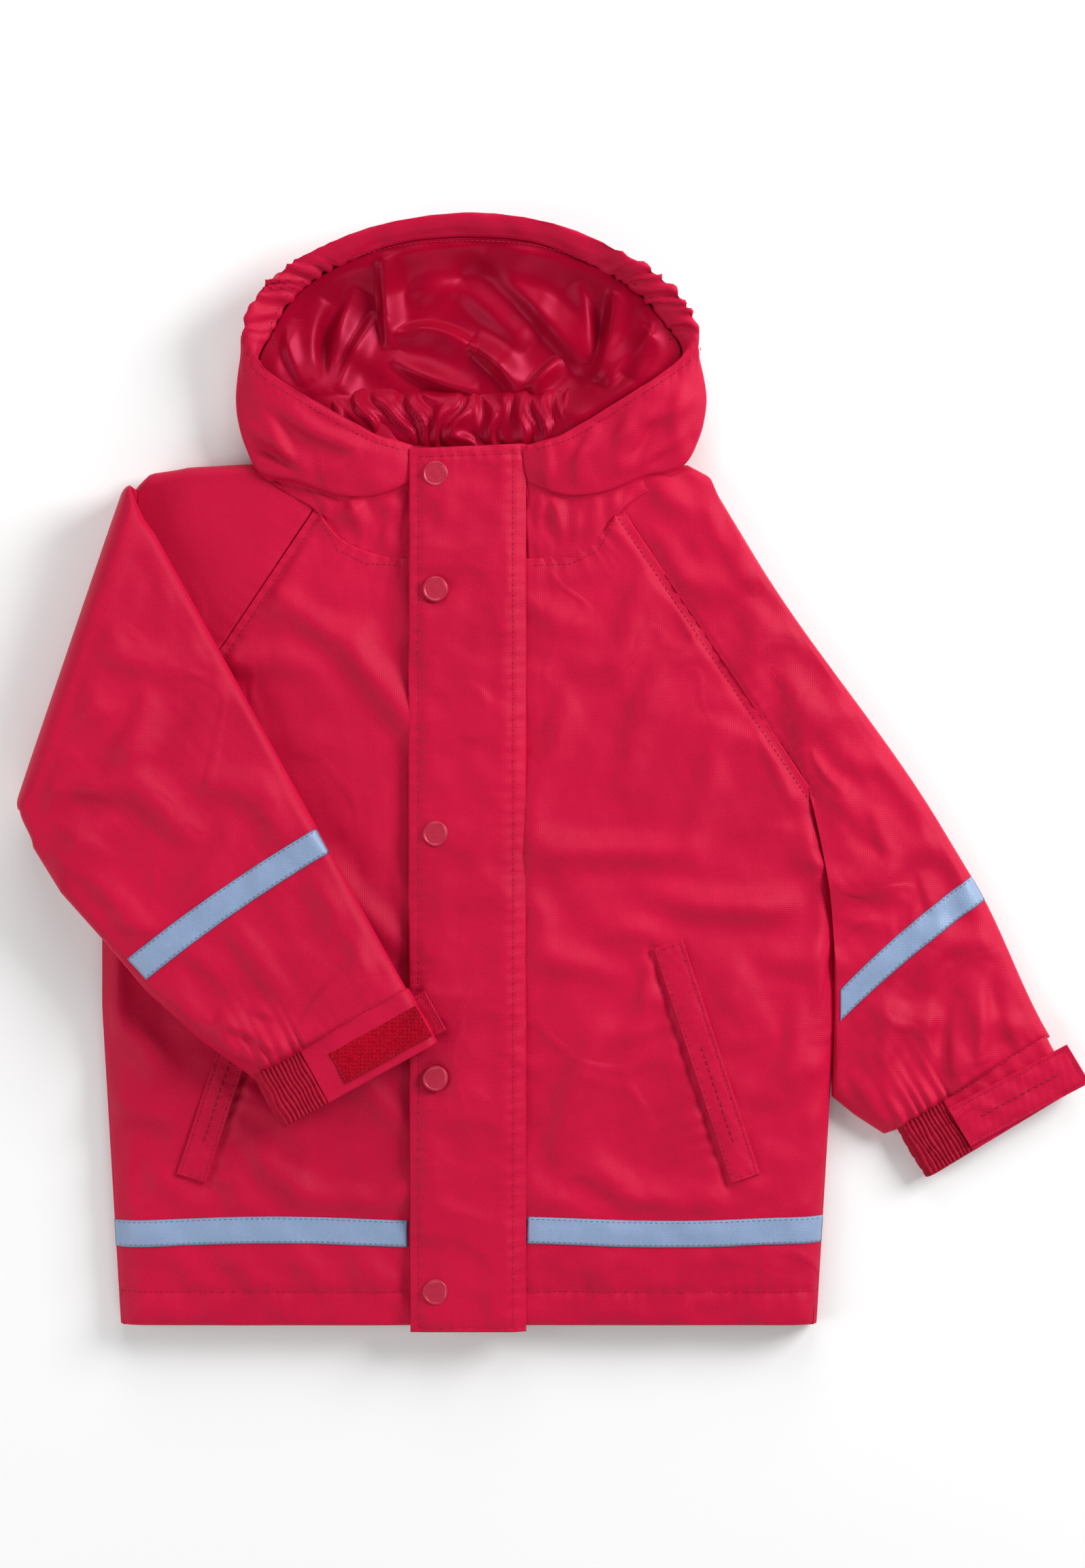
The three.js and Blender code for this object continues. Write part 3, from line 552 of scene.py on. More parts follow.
# A stitch is a spindle: two rings of four points between its tips.
stitchRing = [(math.cos(a), math.sin(a)) for a in np.arange(4) * np.pi / 2]
stitchShape = np.array([(-1, 0, 0)] + [(s, c, n) for s in (-0.55, 0.55) for c, n in stitchRing] + [(1, 0, 0)])
stitchFaces = [(0, 1 + (k + 1) % 4, 1 + k, 1 + k) for k in range(4)]
stitchFaces += [(1 + k, 1 + (k + 1) % 4, 5 + (k + 1) % 4, 5 + k) for k in range(4)]
stitchFaces += [(9, 5 + k, 5 + (k + 1) % 4, 5 + (k + 1) % 4) for k in range(4)]
sewn = {}


def sew(batch, grid, line, pitch=3.2, length=2.3, width=0.5, lift=0.12):
    # stitches along a line over a surface, each at its own place, turned along the line and up the slope
    count = max(2, int(lineLength(line) / pitch))
    middle = alongLine(line, (np.arange(count) + 0.5) / count)
    ahead = alongLine(line, np.minimum((np.arange(count) + 0.52) / count + 1e-3, 1))
    place, up = onSurface(grid, middle[:, 0], middle[:, 1])
    flat = np.concatenate([ahead - middle, np.zeros((count, 1))], 1)
    run = flat - up * (flat * up).sum(1, keepdims=True)
    run /= np.maximum(np.linalg.norm(run, axis=1, keepdims=True), 1e-9)
    side = np.cross(up, run)
    s = stitchShape
    points = (
        (place + up * lift)[:, None]
        + run[:, None] * (s[:, 0] * length / 2)[None, :, None]
        + side[:, None] * (s[:, 1] * width / 2)[None, :, None]
        + up[:, None] * (s[:, 2] * width / 2)[None, :, None]
    )
    sewn.setdefault(batch, []).append(points)


def makeStitches(batch, material, slot, **ride):
    # all stitches of one batch as one piece
    points = np.concatenate(sewn[batch])
    base = (np.arange(len(points)) * len(stitchShape))[:, None, None]
    faces = [tuple(dict.fromkeys(f)) for f in (base + np.array(stitchFaces)).reshape(-1, 4).tolist()]
    makePiece(batch, points.reshape(-1, 3), faces, material, slot, shade=False, **ride)


body = {
    "panelTop": 17.0,
    "panelThick": 2.8,
    "sideRoll": 16,
    "sideHeight": 5.2,
    "step": 1.9,
    "loose": 1.8,  # how much of the settled cloth's height shows
    "zipEdges": {1: 29.4, -1: 10.6},  # the fronts' edges along the zip, left and right
    "hemSeams": (20, 47, 63),  # heights of the hem's stitching and the tape's two edges
    "raglanTop": (88.0, 222.0),
    "backNeck": (69.1, 250.0),
    "underarm": (204.0, 50.0),
    "tuckedNeck": (67.9, 249.3),  # a sleeve starts just inside the raglan seam, under the panel's edge
    "tuckedArm": (202.8, 49.3),
}
flapLow, flapHigh = boxOf("storm_flap")
hemY = boxOf("back_panel")[0][1]
neckY = boxOf("collar_left")[0][1]

# Folds, listed one by one: start, middle, end, width, height, and how much wider one side of the fold is.
leftFrontFolds = [
    ((186, 66), (160, 92), (124, 96), 7, 1.7, 0.3),
    ((196, 40), (176, 66), (168, 104), 6, 1.9, -0.4),
    ((205, 22), (184, 34), (150, 30), 8, 1.7, 0.3),
    ((198, 2), (178, -14), (150, -8), 8, 1.3, 0.2),
    ((122, 168), (126, 150), (142, 132), 5, 1.6, 0.3),
    ((142, 158), (128, 146), (120, 128), 5, 1.2, -0.3),
    ((112, 176), (110, 150), (96, 128), 7, 1.2, 0.3),
    ((60, 150), (90, 120), (150, 70), 15, 1.3, 0.2),
    ((44, 96), (90, 74), (130, 20), 16, 1.2, 0.2),
    ((50, 20), (70, -20), (112, -44), 13, 1.5, 0.3),
    ((124, -28), (146, -52), (170, -96), 8, 1.6, 0.4),
    ((138, -30), (170, -60), (184, -118), 9, 1.5, -0.3),
    ((196, -50), (184, -84), (192, -130), 7, 1.6, 0.3),
    ((206, -100), (186, -128), (180, -170), 8, 1.5, 0.2),
    ((100, -70), (88, -110), (104, -160), 9, 1.2, 0.3),
    ((60, -60), (74, -120), (62, -180), 14, 1.3, 0.2),
    ((150, -182), (120, -176), (84, -184), 9, 1.1, 0.3),
    ((196, -176), (170, -168), (160, -182), 7, 1.2, 0.0),
    ((108, -40), (100, -56), (104, -80), 5, 1.5, 0.5),
    ((112, -26), (92, -22), (74, -36), 7, 1.3, 0.3),
    ((38, 182), (60, 176), (86, 188), 8, 1.1, 0.3),
    ((199, 11), (209, 16), (213, 4), 4, 2.2, 0.2),
    ((176, -222), (120, -216), (60, -226), 8, 0.8, 0.3),
]
rightFrontFolds = [
    ((-52, 150), (-80, 128), (-120, 120), 12, 1.2, 0.3),
    ((-60, 180), (-84, 172), (-104, 150), 8, 1.2, 0.3),
    ((-44, 60), (-60, 30), (-52, -10), 10, 1.1, 0.2),
    ((-206, -110), (-184, -122), (-150, -128), 8, 1.5, 0.3),
    ((-150, -120), (-120, -142), (-112, -180), 9, 1.6, 0.3),
    ((-100, -130), (-90, -160), (-104, -188), 8, 1.2, -0.3),
    ((-60, -120), (-72, -150), (-60, -188), 9, 1.2, 0.3),
    ((-190, -150), (-176, -172), (-186, -190), 7, 1.3, 0.2),
    ((-196, -60), (-180, -90), (-184, -130), 8, 1.3, 0.3),
    ((-172, -222), (-120, -214), (-60, -224), 8, 0.9, 0.3),
]


pocket = {
    "length": 144.0, "width": 18.0, "thick": 2.4, "lift": 0.9, "top": (116, -34), "lean": 18.3, "sewn": 2.2,
    "row": (62.0, 122.0), "bagThick": 1.6,
}


def pocketPoint(side, s, t):
    # s down the pocket and t across it, from the top of its middle line
    a = math.radians(pocket["lean"])
    x = pocket["top"][0] + s * math.sin(a) + t * math.cos(a)
    y = pocket["top"][1] - s * math.cos(a) + t * math.sin(a)
    return np.stack([side * x, y], -1)


def panelBorder(side, zipEdge):
    # the panel's four edges: hem, side with raglan seam, neckline, and the edge along the zip
    name = "left" if side > 0 else "right"
    furthest = max if side > 0 else min
    ys = np.linspace(hemY, body["raglanTop"][1], 60)
    outer = np.stack([cadEdge("front_panel_" + name, ys, 1, furthest), ys], -1)
    outer[-1] = (side * body["raglanTop"][0], body["raglanTop"][1])
    xs = side * np.linspace(37, body["raglanTop"][0], 16)
    neck = np.stack([xs, cadEdge("collar_" + name, xs, 0, min)], -1)
    neck[0, 0], neck[-1] = zipEdge, outer[-1]
    return [(zipEdge, hemY), outer[0]], outer, neck, [(zipEdge, hemY), (zipEdge, neck[0, 1])]


def panelSurface(side, zipEdge, folds, seed):
    # flat at the panel's height, rolled down to the back panel along the side, with the folds on top
    low, outer, neck, inner = panelBorder(side, zipEdge)
    u = stations(185, body["step"], 1.2)
    roll = 1 - np.array([0.25, 0.5, 0.9, 1.5, 2.4, 3.6, 5.0, 6.6]) / 185
    u = np.unique(np.concatenate([u, roll]))
    v = stations(500, body["step"], 1.2)
    flat = coons(low, outer, neck, inner, u, v)
    x, y = flat[..., 0], flat[..., 1]
    middle = body["panelTop"] - body["panelThick"] / 2
    grid = np.concatenate([flat, np.full(x.shape + (1,), middle)], -1)
    toSide = edgeDistance(grid)[1]
    below = 1 - smooth(y, body["underarm"][1] - 14, body["underarm"][1] + 10)
    grid[..., 2] -= (middle - body["sideHeight"]) * (1 - roundEdge(toSide, body["sideRoll"])) * below
    quiet = smooth(toSide, 2, 22) * smooth(np.abs(x), 30, 60)
    swell = 1.2 * ripple(x, y, 120, seed) + 0.3 * ripple(x, y, 42, seed + 1, stretch=(1, 1.5))
    seams = [outer[30:]]
    seams += [pocketPoint(side, np.array([0, pocket["length"]]), np.array([t, t])) for t in (-9.0, 9.0)]
    seams += [[(0, hemY + rise), (side * 210, hemY + rise)] for rise in body["hemSeams"]]
    wide = sorted((zipEdge, side * 214))
    loose = settled(x, y, (*wide, hemY, 226), seams, seed + 2)
    relief = (swell + 1.0) * quiet + loose * smooth(toSide, 1, 12) * body["loose"]
    relief += creases(x, y, folds) * smooth(toSide, 1, 9)
    relief += 0.1 * ripple(x, y, 13, seed + 6, stretch=(1, 1.3))
    hemLine = [(zipEdge, hemY + body["hemSeams"][0]), (side * 206, hemY + body["hemSeams"][0])]
    relief += groove(x, y, hemLine, 2.2, 0.7) + puckers(x, y, hemLine, 9, 8, 0.35, seed + 3)
    relief += puckers(x, y, outer[30:], 8, 7, 0.3, seed + 4) + puckers(x, y, neck, 8, 10, 0.45, seed + 5)
    raglan = np.array([body["raglanTop"], body["underarm"]]) * (side, 1) - (side * 4.5, 2.5)
    relief += groove(x, y, raglan, 1.8, 0.5)
    return grid, relief, hemLine, raglan


panels = {}
for name, side, folds, seed in (("left", 1, leftFrontFolds, 11), ("right", -1, rightFrontFolds, 31)):
    grid, relief, hemLine, raglan = panelSurface(side, body["zipEdges"][side], folds, seed)
    x, y = grid[..., 0], grid[..., 1]
    s = np.linspace(-2, 146, 12)
    slit = pocketPoint(side, s, np.full(s.shape, -11.0))
    relief += groove(x, y, slit, 2.6, 1.6) + puckers(x, y, slit, 14, 10, 0.6, seed + 7)
    panels[name] = sheetPiece(
        "front_" + name, grid, body["panelThick"], (1.2, 0.7, 1.6, 0.7), shellCloth, "shell", relief,
        body="torso", replaces=("front_panel_" + name, "side_seam_" + name),
    )
    neckLine = [(side * 38, neckY - 4), (side * 60, neckY - 3.2), (side * 76, neckY + 5), (side * 86, 214)]
    sew("stitches_torso", panels[name], hemLine)
    sew("stitches_torso", panels[name], raglan, lift=0.2)
    sew("stitches_torso", panels[name], neckLine)
print("front panels made")

back = {"thick": 2.7, "liningThick": 0.8, "liningHeight": 3.5, "frontLiningHeight": 13.0}


def backSurface(height, inset, seed, size, waves):
    # between the two side edges, from the hem to the back of the neck
    ys = np.linspace(hemY + inset, body["backNeck"][1] - inset, 70)
    right = np.stack([cadEdge("back_panel", ys, 1, max) - inset, ys], -1)
    left = right * (-1, 1)
    u, v = stations(2 * right[0, 0], 3.0, 1.2), stations(500, 3.0, 1.2)
    flat = coons([left[0], right[0]], right, [left[-1], right[-1]], left, u, v)
    x, y = flat[..., 0], flat[..., 1]
    l, r, _, _ = edgeDistance(np.concatenate([flat, np.zeros(x.shape + (1,))], -1))
    curl = 2.2 * (1 - roundEdge(np.minimum(l, r), 12)) * (1 - smooth(y, 30, 60))
    grid = np.concatenate([flat, (height + curl)[..., None]], -1)
    return grid, waves * ripple(x, y, size, seed) * smooth(np.minimum(l, r), 2, 25)


grid, relief = backSurface(back["thick"] / 2, 0, 51, 70, 0.12)
x, y = grid[..., 0], grid[..., 1]
backFolds = -0.35 * ripple(x, y, 90, 53) - 0.25 * ripple(x, y, 26, 54)
sheetPiece(
    "back", grid, back["thick"], 1.3, shellCloth, "shell", relief, np.minimum(backFolds, 0),
    body="torso", replaces=("back_panel",),
)
grid, relief = backSurface(back["liningHeight"], 2, 61, 30, 0.15)
sheetPiece(
    "lining_back", grid, back["liningThick"], 0.4, liningSatin, "lining", relief,
    body="torso", replaces=("back_lining",),
)
for name, side in (("left", 1), ("right", -1)):
    low, outer, neck, inner = panelBorder(side, body["zipEdges"][side])
    flat = coons(low, outer, neck, inner, stations(180, 5, 0.6), stations(500, 5, 0.6))
    flat[..., 0] -= 2.0 * side * smooth(np.abs(flat[..., 0]), 60, 200)
    x, y = flat[..., 0], flat[..., 1]
    fall = smooth(np.abs(x), 196, 214) * (1 - smooth(y, 30, 60)) * 6
    grid = np.concatenate([flat, (back["frontLiningHeight"] - fall)[..., None]], -1)
    sheetPiece(
        "lining_" + name, grid, back["liningThick"], 0.4, liningSatin, "lining", 0.4 * ripple(x, y, 40, 71),
        body="torso", replaces=("front_lining_" + name,),
    )
print("back and lining made")

flap = {"thick": 1.9, "middle": 22.3, "seamDrop": 3.6, "freeDrop": 0.7, "stitch": 6, "innerStitch": 8,
        "loose": 1.1}
caps = [boxOf(f"snap_cap_{k}") for k in range(1, 6)]
capSpots = [((low[0] + high[0]) / 2, (low[1] + high[1]) / 2) for low, high in caps]


def flapSurface():
    # level over the snaps, sloping down to the seam and a little to the free edge
    u, v = stations(flapHigh[0] - flapLow[0], 1.5, 1.0), stations(flapHigh[1] - flapLow[1], 1.6, 1.0)
    left = [(flapLow[0] + 1.2, flapLow[1]), (flapLow[0], 0), (flapLow[0] + 0.4, flapHigh[1] - 3)]
    right = [(flapHigh[0], flapLow[1]), (flapHigh[0], flapHigh[1])]
    flat = coons([left[0], right[0]], right, [left[-1], right[-1]], left, u, v)
    x, y = flat[..., 0], flat[..., 1]
    z = flap["middle"] - flap["seamDrop"] * smooth(x, 25, 35) - flap["freeDrop"] * (1 - smooth(x, -35, -22))
    grid = np.concatenate([flat, z[..., None]], -1)
    free = 1 - smooth(x, -34, -8)
    relief = 0.55 * ripple(x, y, 60, 81, stretch=(1, 1.4)) + 0.12 * ripple(x, y, 12, 82)
    relief += 0.5 * free * ripple(0 * x, y, 46, 83)
    relief += creases(x, y, [
        ((-30, 236), (-12, 226), (22, 232), 6, 0.7, 0.3), ((-30, 196), (0, 188), (24, 196), 9, 0.8, 0.3),
        ((-28, 120), (0, 104), (24, 112), 12, 0.8, 0.2), ((-30, -96), (-6, -104), (20, -92), 8, 0.8, 0.3),
        ((-26, -168), (4, -176), (24, -166), 10, 0.7, 0.2), ((-32, -236), (0, -228), (26, -238), 7, 0.7, 0.3),
        ((6, 190), (10, 120), (5, 40), 8, 0.6, 0.3), ((4, -20), (9, -90), (6, -160), 8, 0.6, 0.3),
    ])
    for cx, cy in capSpots:
        r = np.hypot(x - cx, y - cy)
        relief += 0.35 * np.exp(-(((r - 15) / 6) ** 2)) - 0.5 * np.exp(-((r / 9) ** 2))
    outerX, innerX, lowY = flapLow[0] + flap["stitch"], flapHigh[0] - flap["innerStitch"], flapLow[1] + 3
    lines = [
        [(outerX, lowY), (outerX, flapHigh[1] - 8)],
        [(innerX, lowY), (innerX, flapHigh[1] - 3)],
        [(outerX, flapHigh[1] - 8), (flapHigh[0] - 1, flapHigh[1] - 6)],
        [(outerX, lowY), (flapHigh[0] - 1, lowY)],
    ]
    for k, line in enumerate(lines):
        relief += groove(x, y, line, 1.6, 0.45) + puckers(x, y, line, 7, 5, 0.28, 84 + k)
    relief += 0.8 * np.exp(-(((x - 20) / 4.5) ** 2)) * smooth(y, -240, -220)
    box = (flapLow[0], flapHigh[0], flapLow[1], flapHigh[1])
    relief += flap["loose"] * settled(x, y, box, lines[:2], 85, slack=0.02, tallest=3.0)
    return grid, np.clip(relief, -0.9, 2.2), lines


grid, relief, lines = flapSurface()
flapBend = ("torso", "flap", (0.0355, 0, 0), (0.0300, 0, 0))
flapTop = sheetPiece(
    "storm_flap_cloth", grid, flap["thick"], 0.9, shellCloth, "shell", relief,
    bend=flapBend, replaces=("storm_flap",),
)
for line in lines:
    sew("stitches_flap", flapTop, line, pitch=3.0)
capShape = {"radius": 7.5, "rise": 2.5, "rim": 1.1, "dots": 14, "dotRing": 4.6, "dotRise": 0.3}


def capSurface(cx, cy, low, floor):
    # a turned profile with a raised rim round a shallow dish, and a ring of small dots in the dish
    r0, h = capShape["radius"], capShape["rise"]
    below = [(0, low), (1.4, low), (2.2, low + 0.02), (4.0, floor), (r0 - 0.6, floor), (r0, floor + 0.5)]
    rim = [(r0 - 0.05, floor + h * 0.55), (r0 - 0.5, floor + h * 0.92), (r0 - capShape["rim"], floor + h)]
    dish = [(r0 - 1.9, floor + h * 0.86), (3.4, floor + h * 0.84), (1.5, floor + h * 0.9),
            (0, floor + h * 0.92)]
    profile = through(below + rim + dish, np.linspace(0, 1, 45))
    profile[:, 0] = np.maximum(profile[:, 0], 0)
    angle = np.linspace(0, 2 * np.pi, 85)[:-1]
    r, a = profile[1:-1, :1], angle[None]
    ring = np.stack([cx + r * np.cos(a), cy + r * np.sin(a), profile[1:-1, 1:] + 0 * a], -1)
    dotRing, dots = capShape["dotRing"], capShape["dots"]
    spot = np.abs((a * dots / (2 * np.pi)) % 1 - 0.5) * 2 * np.pi * dotRing / dots
    upper = (np.arange(len(r)) > 24)[:, None]
    ring[..., 2] += capShape["dotRise"] * np.exp(-((spot**2 + (r - dotRing) ** 2) / 0.28)) * upper
    return ring, np.array([[cx, cy, profile[0, 1]], [cx, cy, profile[-1, 1]]])


def closeRings(rings, poles):
    # rings from pole to pole: quads between rings, triangles at the poles
    rows, cols = rings.shape[:2]
    index = np.arange(rows * cols).reshape(rows, cols)
    index = np.concatenate([index, index[:, :1]], 1)
    faces = quads(index).tolist()
    first, last = rows * cols, rows * cols + 1
    faces += [[first, b, a] for a, b in zip(index[0, :-1].tolist(), index[0, 1:].tolist())]
    faces += [[last, a, b] for a, b in zip(index[-1, :-1].tolist(), index[-1, 1:].tolist())]
    return np.concatenate([rings.reshape(-1, 3), poles]), faces


def makeRings(name, rings, poles, material, slot, **ride):
    # a closed piece from rings and two poles
    return makePiece(name, *closeRings(rings, poles), material, slot, turn=True, **ride)


for k, (low, high) in enumerate(caps):
    cx, cy = capSpots[k]
    rings, poles = capSurface(cx, cy, low[2], high[2] - capShape["rise"])
    makeRings(f"snap_cap_turned_{k + 1}", rings, poles, paintedSnap, "snap", body="flap",
              replaces=(f"snap_cap_{k + 1}",))
print("storm flap made")


leftSleeve = {
    "origin": (136.0,
               244.0), "lean": 31.1, "cuffSeam": 391.0, "bulge": 12.0, "loft": 14.0, "step": 2.1, "loose": 1.5,
}
rightSleeve = {"origin": (-197.0, 232.0), "lean": 29.0, "cuffSeam": 336.0, "loft": 12.0, "step": 2.1,
               "loose": 1.5}
rightSleeve["low"] = boxOf("right_sleeve_front")[0][2]
cuff = {"width": 101.0, "height": 33.0, "band": 70.7, "thick": 2.0, "ribPitch": 2.5, "ribHeight": 0.85}
shoulderTop = 17.0


def onSleeve(sleeve, s, t):
    # s down the overarm edge and t across the sleeve towards the underarm
    a = math.radians(sleeve["lean"])
    s, t = np.broadcast_arrays(np.asarray(s, float), np.asarray(t, float))
    x = sleeve["origin"][0] + s * math.sin(a) - t * math.cos(a)
    y = sleeve["origin"][1] - s * math.cos(a) - t * math.sin(a)
    return np.stack([x, y], -1)


def overarmBulge(s):
    # how far the left sleeve's overarm edge stands out from a straight line
    return leftSleeve["bulge"] * smooth(s, 60, 250) * (1 - 0.75 * smooth(s, 290, leftSleeve["cuffSeam"]))


s = np.linspace(18, leftSleeve["cuffSeam"], 40)
leftOver = [body["tuckedNeck"], (128, 245.5), (141, 238.5)]
leftOver = np.concatenate([leftOver, onSleeve(leftSleeve, s, -overarmBulge(s))])
leftUnder = [body["tuckedArm"], (212, 30), (213.6, 8), (213.6, -70), (212.5, -124), (226, -135), (243, -146)]
leftUnder = np.concatenate([leftUnder, [onSleeve(leftSleeve, leftSleeve["cuffSeam"], cuff["width"] + 1)]])
leftSleeveFolds = [
    ((286, -66), (279, -96), (287, -128), 5, 3.4, 0.5), ((270, -64), (266, -92), (268, -118), 6, 3.0, -0.3),
    ((247, -76), (238, -112), (254, -136), 7, 2.8, 0.3), ((222, -104), (232, -130), (250, -140), 6, 2.6, 0.4),
    ((303, -44), (294, -70), (304, -104), 6, 2.6, -0.4), ((296, -72), (300, -96), (296, -116), 4, 1.8, 0.3),
    ((264, 8), (266, -4), (273, -18), 5, 2.2, 0.6), ((236, 46), (240, 28), (247, 12), 6, 2.0, 0.4),
    ((206, 70), (222, 44), (250, 20), 9, 2.4, 0.3), ((216, 24), (232, 10), (252, 8), 7, 2.0, -0.3),
    ((204, 96), (214, 78), (236, 62), 8, 1.8, 0.3), ((168, 150), (186, 118), (214, 92), 10, 1.6, 0.3),
    ((216, -16), (232, -26), (250, -22), 6, 1.8, 0.3), ((256, -58), (268, -40), (286, -24), 8, 1.8, 0.3),
    ((140, 222), (150, 196), (170, 170), 8, 2.2, 0.4), ((110, 236), (128, 214), (136, 184), 9, 1.8, -0.3),
    ((104, 220), (116, 196), (136, 160), 6, 1.2, 0.4), ((276, 30), (284, 6), (300, -20), 8, 1.6, 0.3),
    ((222, -80), (236, -84), (256, -70), 8, 1.6, 0.2), ((312, -60), (314, -84), (326, -100), 5, 1.8, 0.3),
    ((200, 80), (206, 62), (220, 54), 4, 2.0, 0.5),
]


def tubeRows(over, under, rows, cols):
    # straight lines between the overarm edge and the underarm edge at equal shares of their lengths
    a, b = alongLine(over, rows), alongLine(under, rows)
    return (1 - cols[None, :, None]) * a[:, None] + cols[None, :, None] * b[:, None]


rows, cols = stations(440, leftSleeve["step"], 2.0), stations(185, leftSleeve["step"], 4.5)
flat = tubeRows(leftOver, leftUnder, rows, cols)
x, y = flat[..., 0], flat[..., 1]
fromSeam = nearLine(x, y, [body["tuckedNeck"], body["tuckedArm"]])[0]
out = smooth(fromSeam, 20, 150)
half = (1 - out) * shoulderTop / 2 + out * leftSleeve["loft"] / 2 - 0.3 * (1 - smooth(fromSeam, 0.6, 4))
grid = np.concatenate([flat, half[..., None]], -1)
l, r, d, h = edgeDistance(grid)
puff = 2.2 * smooth(rows, 0.8, 0.95)[:, None] * smooth(r, 4, 20) * (1 - smooth(r, 45, 80))
cuffLine = onSleeve(leftSleeve, leftSleeve["cuffSeam"], np.linspace(-4, cuff["width"], 12))
seams = [[body["backNeck"], body["underarm"]], cuffLine, leftOver]
seams += [onSleeve(leftSleeve, np.linspace(s0, s0 + 17, 9), np.linspace(-10, 112, 9)) for s0 in (286, 302)]
loose = settled(x, y, (66, 366, -152, 252), seams, 102, slack=0.024, tallest=5.5)
relief = (0.8 * ripple(x, y, 75, 101) + leftSleeve["loose"] * loose) * smooth(l, 1, 16) * smooth(r, 1, 12)
relief = relief + creases(x, y, leftSleeveFolds) * smooth(l, 0, 9) + puff
relief += 0.1 * ripple(x, y, 12, 103)
relief += puckers(x, y, cuffLine[7:], 6.5, 16, 1.5, 104) + puckers(x, y, cuffLine[:8], 10, 8, 0.35, 105)
relief += puckers(x, y, [body["backNeck"], body["underarm"]], 9, 8, 0.3, 106)
under = -0.5 * np.abs(ripple(x, y, 60, 107)) * smooth(np.minimum(l, r), 2, 14)
leftBend = ("torso", "left_sleeve", (0.211, 0, 0), (0.227, 0, 0))
leftTop = sheetPiece(
    "sleeve_left", grid, 2 * half, (7.5, 7.5, 0.6,
                                    5.5), shellCloth, "shell", relief, under, soft="padded", bend=leftBend,
    replaces=("left_shoulder_front", "left_shoulder_back", "left_sleeve_front", "left_sleeve_back"),
)

# The right sleeve runs out to the fold line, turns over it, and comes back over the front.
fold = {"inset": 8.5, "reach": 7.5, "half": 4.0, "rows": 17, "sink": 5.5}
foldOut = np.array([-0.947, 0.322])
foldHigh = np.array(rightSleeve["origin"]) - fold["inset"] * foldOut
foldLow = np.array([-261.0, 44.0]) - fold["inset"] * foldOut
mirrored = [(-px, py) for px, py in (body["tuckedNeck"], body["tuckedArm"])]
lowOver = np.array([mirrored[0], (-128, 246), (-164, 244), (-182, 239), foldHigh])
lowUnder = np.array([mirrored[1], (-230, 46), foldLow])
s = np.linspace(24, rightSleeve["cuffSeam"], 30)
highOver = np.concatenate([[foldHigh], onSleeve(rightSleeve, s, 0 * s)])
highUnder = [foldLow, (-251, 22), (-235, -4)]
highUnder = np.concatenate([highUnder, onSleeve(rightSleeve, [226, 262, 300, 336], [139, 132, 119, 102])])
rows = [np.linspace(0, 1, 46)[:-1] ** 0.98, stations(rightSleeve["cuffSeam"], rightSleeve["step"], 2.0)[1:]]
cols = stations(190, rightSleeve["step"], 4.5)
turn = np.linspace(0, np.pi, fold["rows"])
lower, upper = tubeRows(lowOver, lowUnder, rows[0], cols), tubeRows(highOver, highUnder, rows[1], cols)
line = (1 - cols[:, None]) * foldHigh + cols[:, None] * foldLow
corner = (2 * cols[:, None] - 1) ** 10  # the fold's ends reach out less, but start further out
arc = line[None] + (fold["reach"] * (1 - 0.93 * corner) * foldOut)[None] * np.sin(turn)[:, None, None]
flat = np.concatenate([lower, arc, upper])
nearFold = np.concatenate([smooth(rows[0], 0.75, 1), np.ones(len(turn)), 1 - smooth(rows[1], 0, 0.09)])
flat = flat + nearFold[:, None, None] * (0.82 * fold["reach"] * corner * foldOut)[None]
count = (len(lower), len(turn), len(upper))
part = np.repeat([0, 1, 2], count)
angle = np.concatenate([np.zeros(count[0]), turn, np.full(count[2], np.pi)])
topLevel = rightSleeve["low"] + rightSleeve["loft"] / 2
height = shoulderTop / 2 + (topLevel - shoulderTop / 2) * (1 - np.cos(angle)) / 2
share = np.concatenate([rows[0] - 1, np.linspace(0, 0.001, count[1]), rows[1]])
half = np.interp(share, [-1, -0.97, -0.3, -0.03, 0, 1], [8.2, 8.45, 8.3, 6.4, 6.2, 6])
half[part == 1] = fold["half"] + (1 - np.sin(turn)) * 2.2
x, y = flat[..., 0], flat[..., 1]
grid = np.concatenate([flat, np.broadcast_to(height[:, None, None], x.shape + (1,))], -1)
normal = np.zeros(grid.shape)
normal[..., :2] = -(np.sin(angle)[:, None, None] * foldOut)
normal[..., 2] = np.cos(angle)[:, None]
l, r, d, h = edgeDistance(grid)
onTop = (part == 2)[:, None] * np.ones(x.shape)
toFold = np.concatenate([np.full(count[0] + count[1], 0.0), rows[1] * rightSleeve["cuffSeam"]])[:, None]
sink = fold["sink"] * (1 - smooth(toFold, 40, 300)) * (1 - smooth(l, 8, 90)) * onTop * smooth(toFold, 0, 30)
grid[..., 2] -= sink
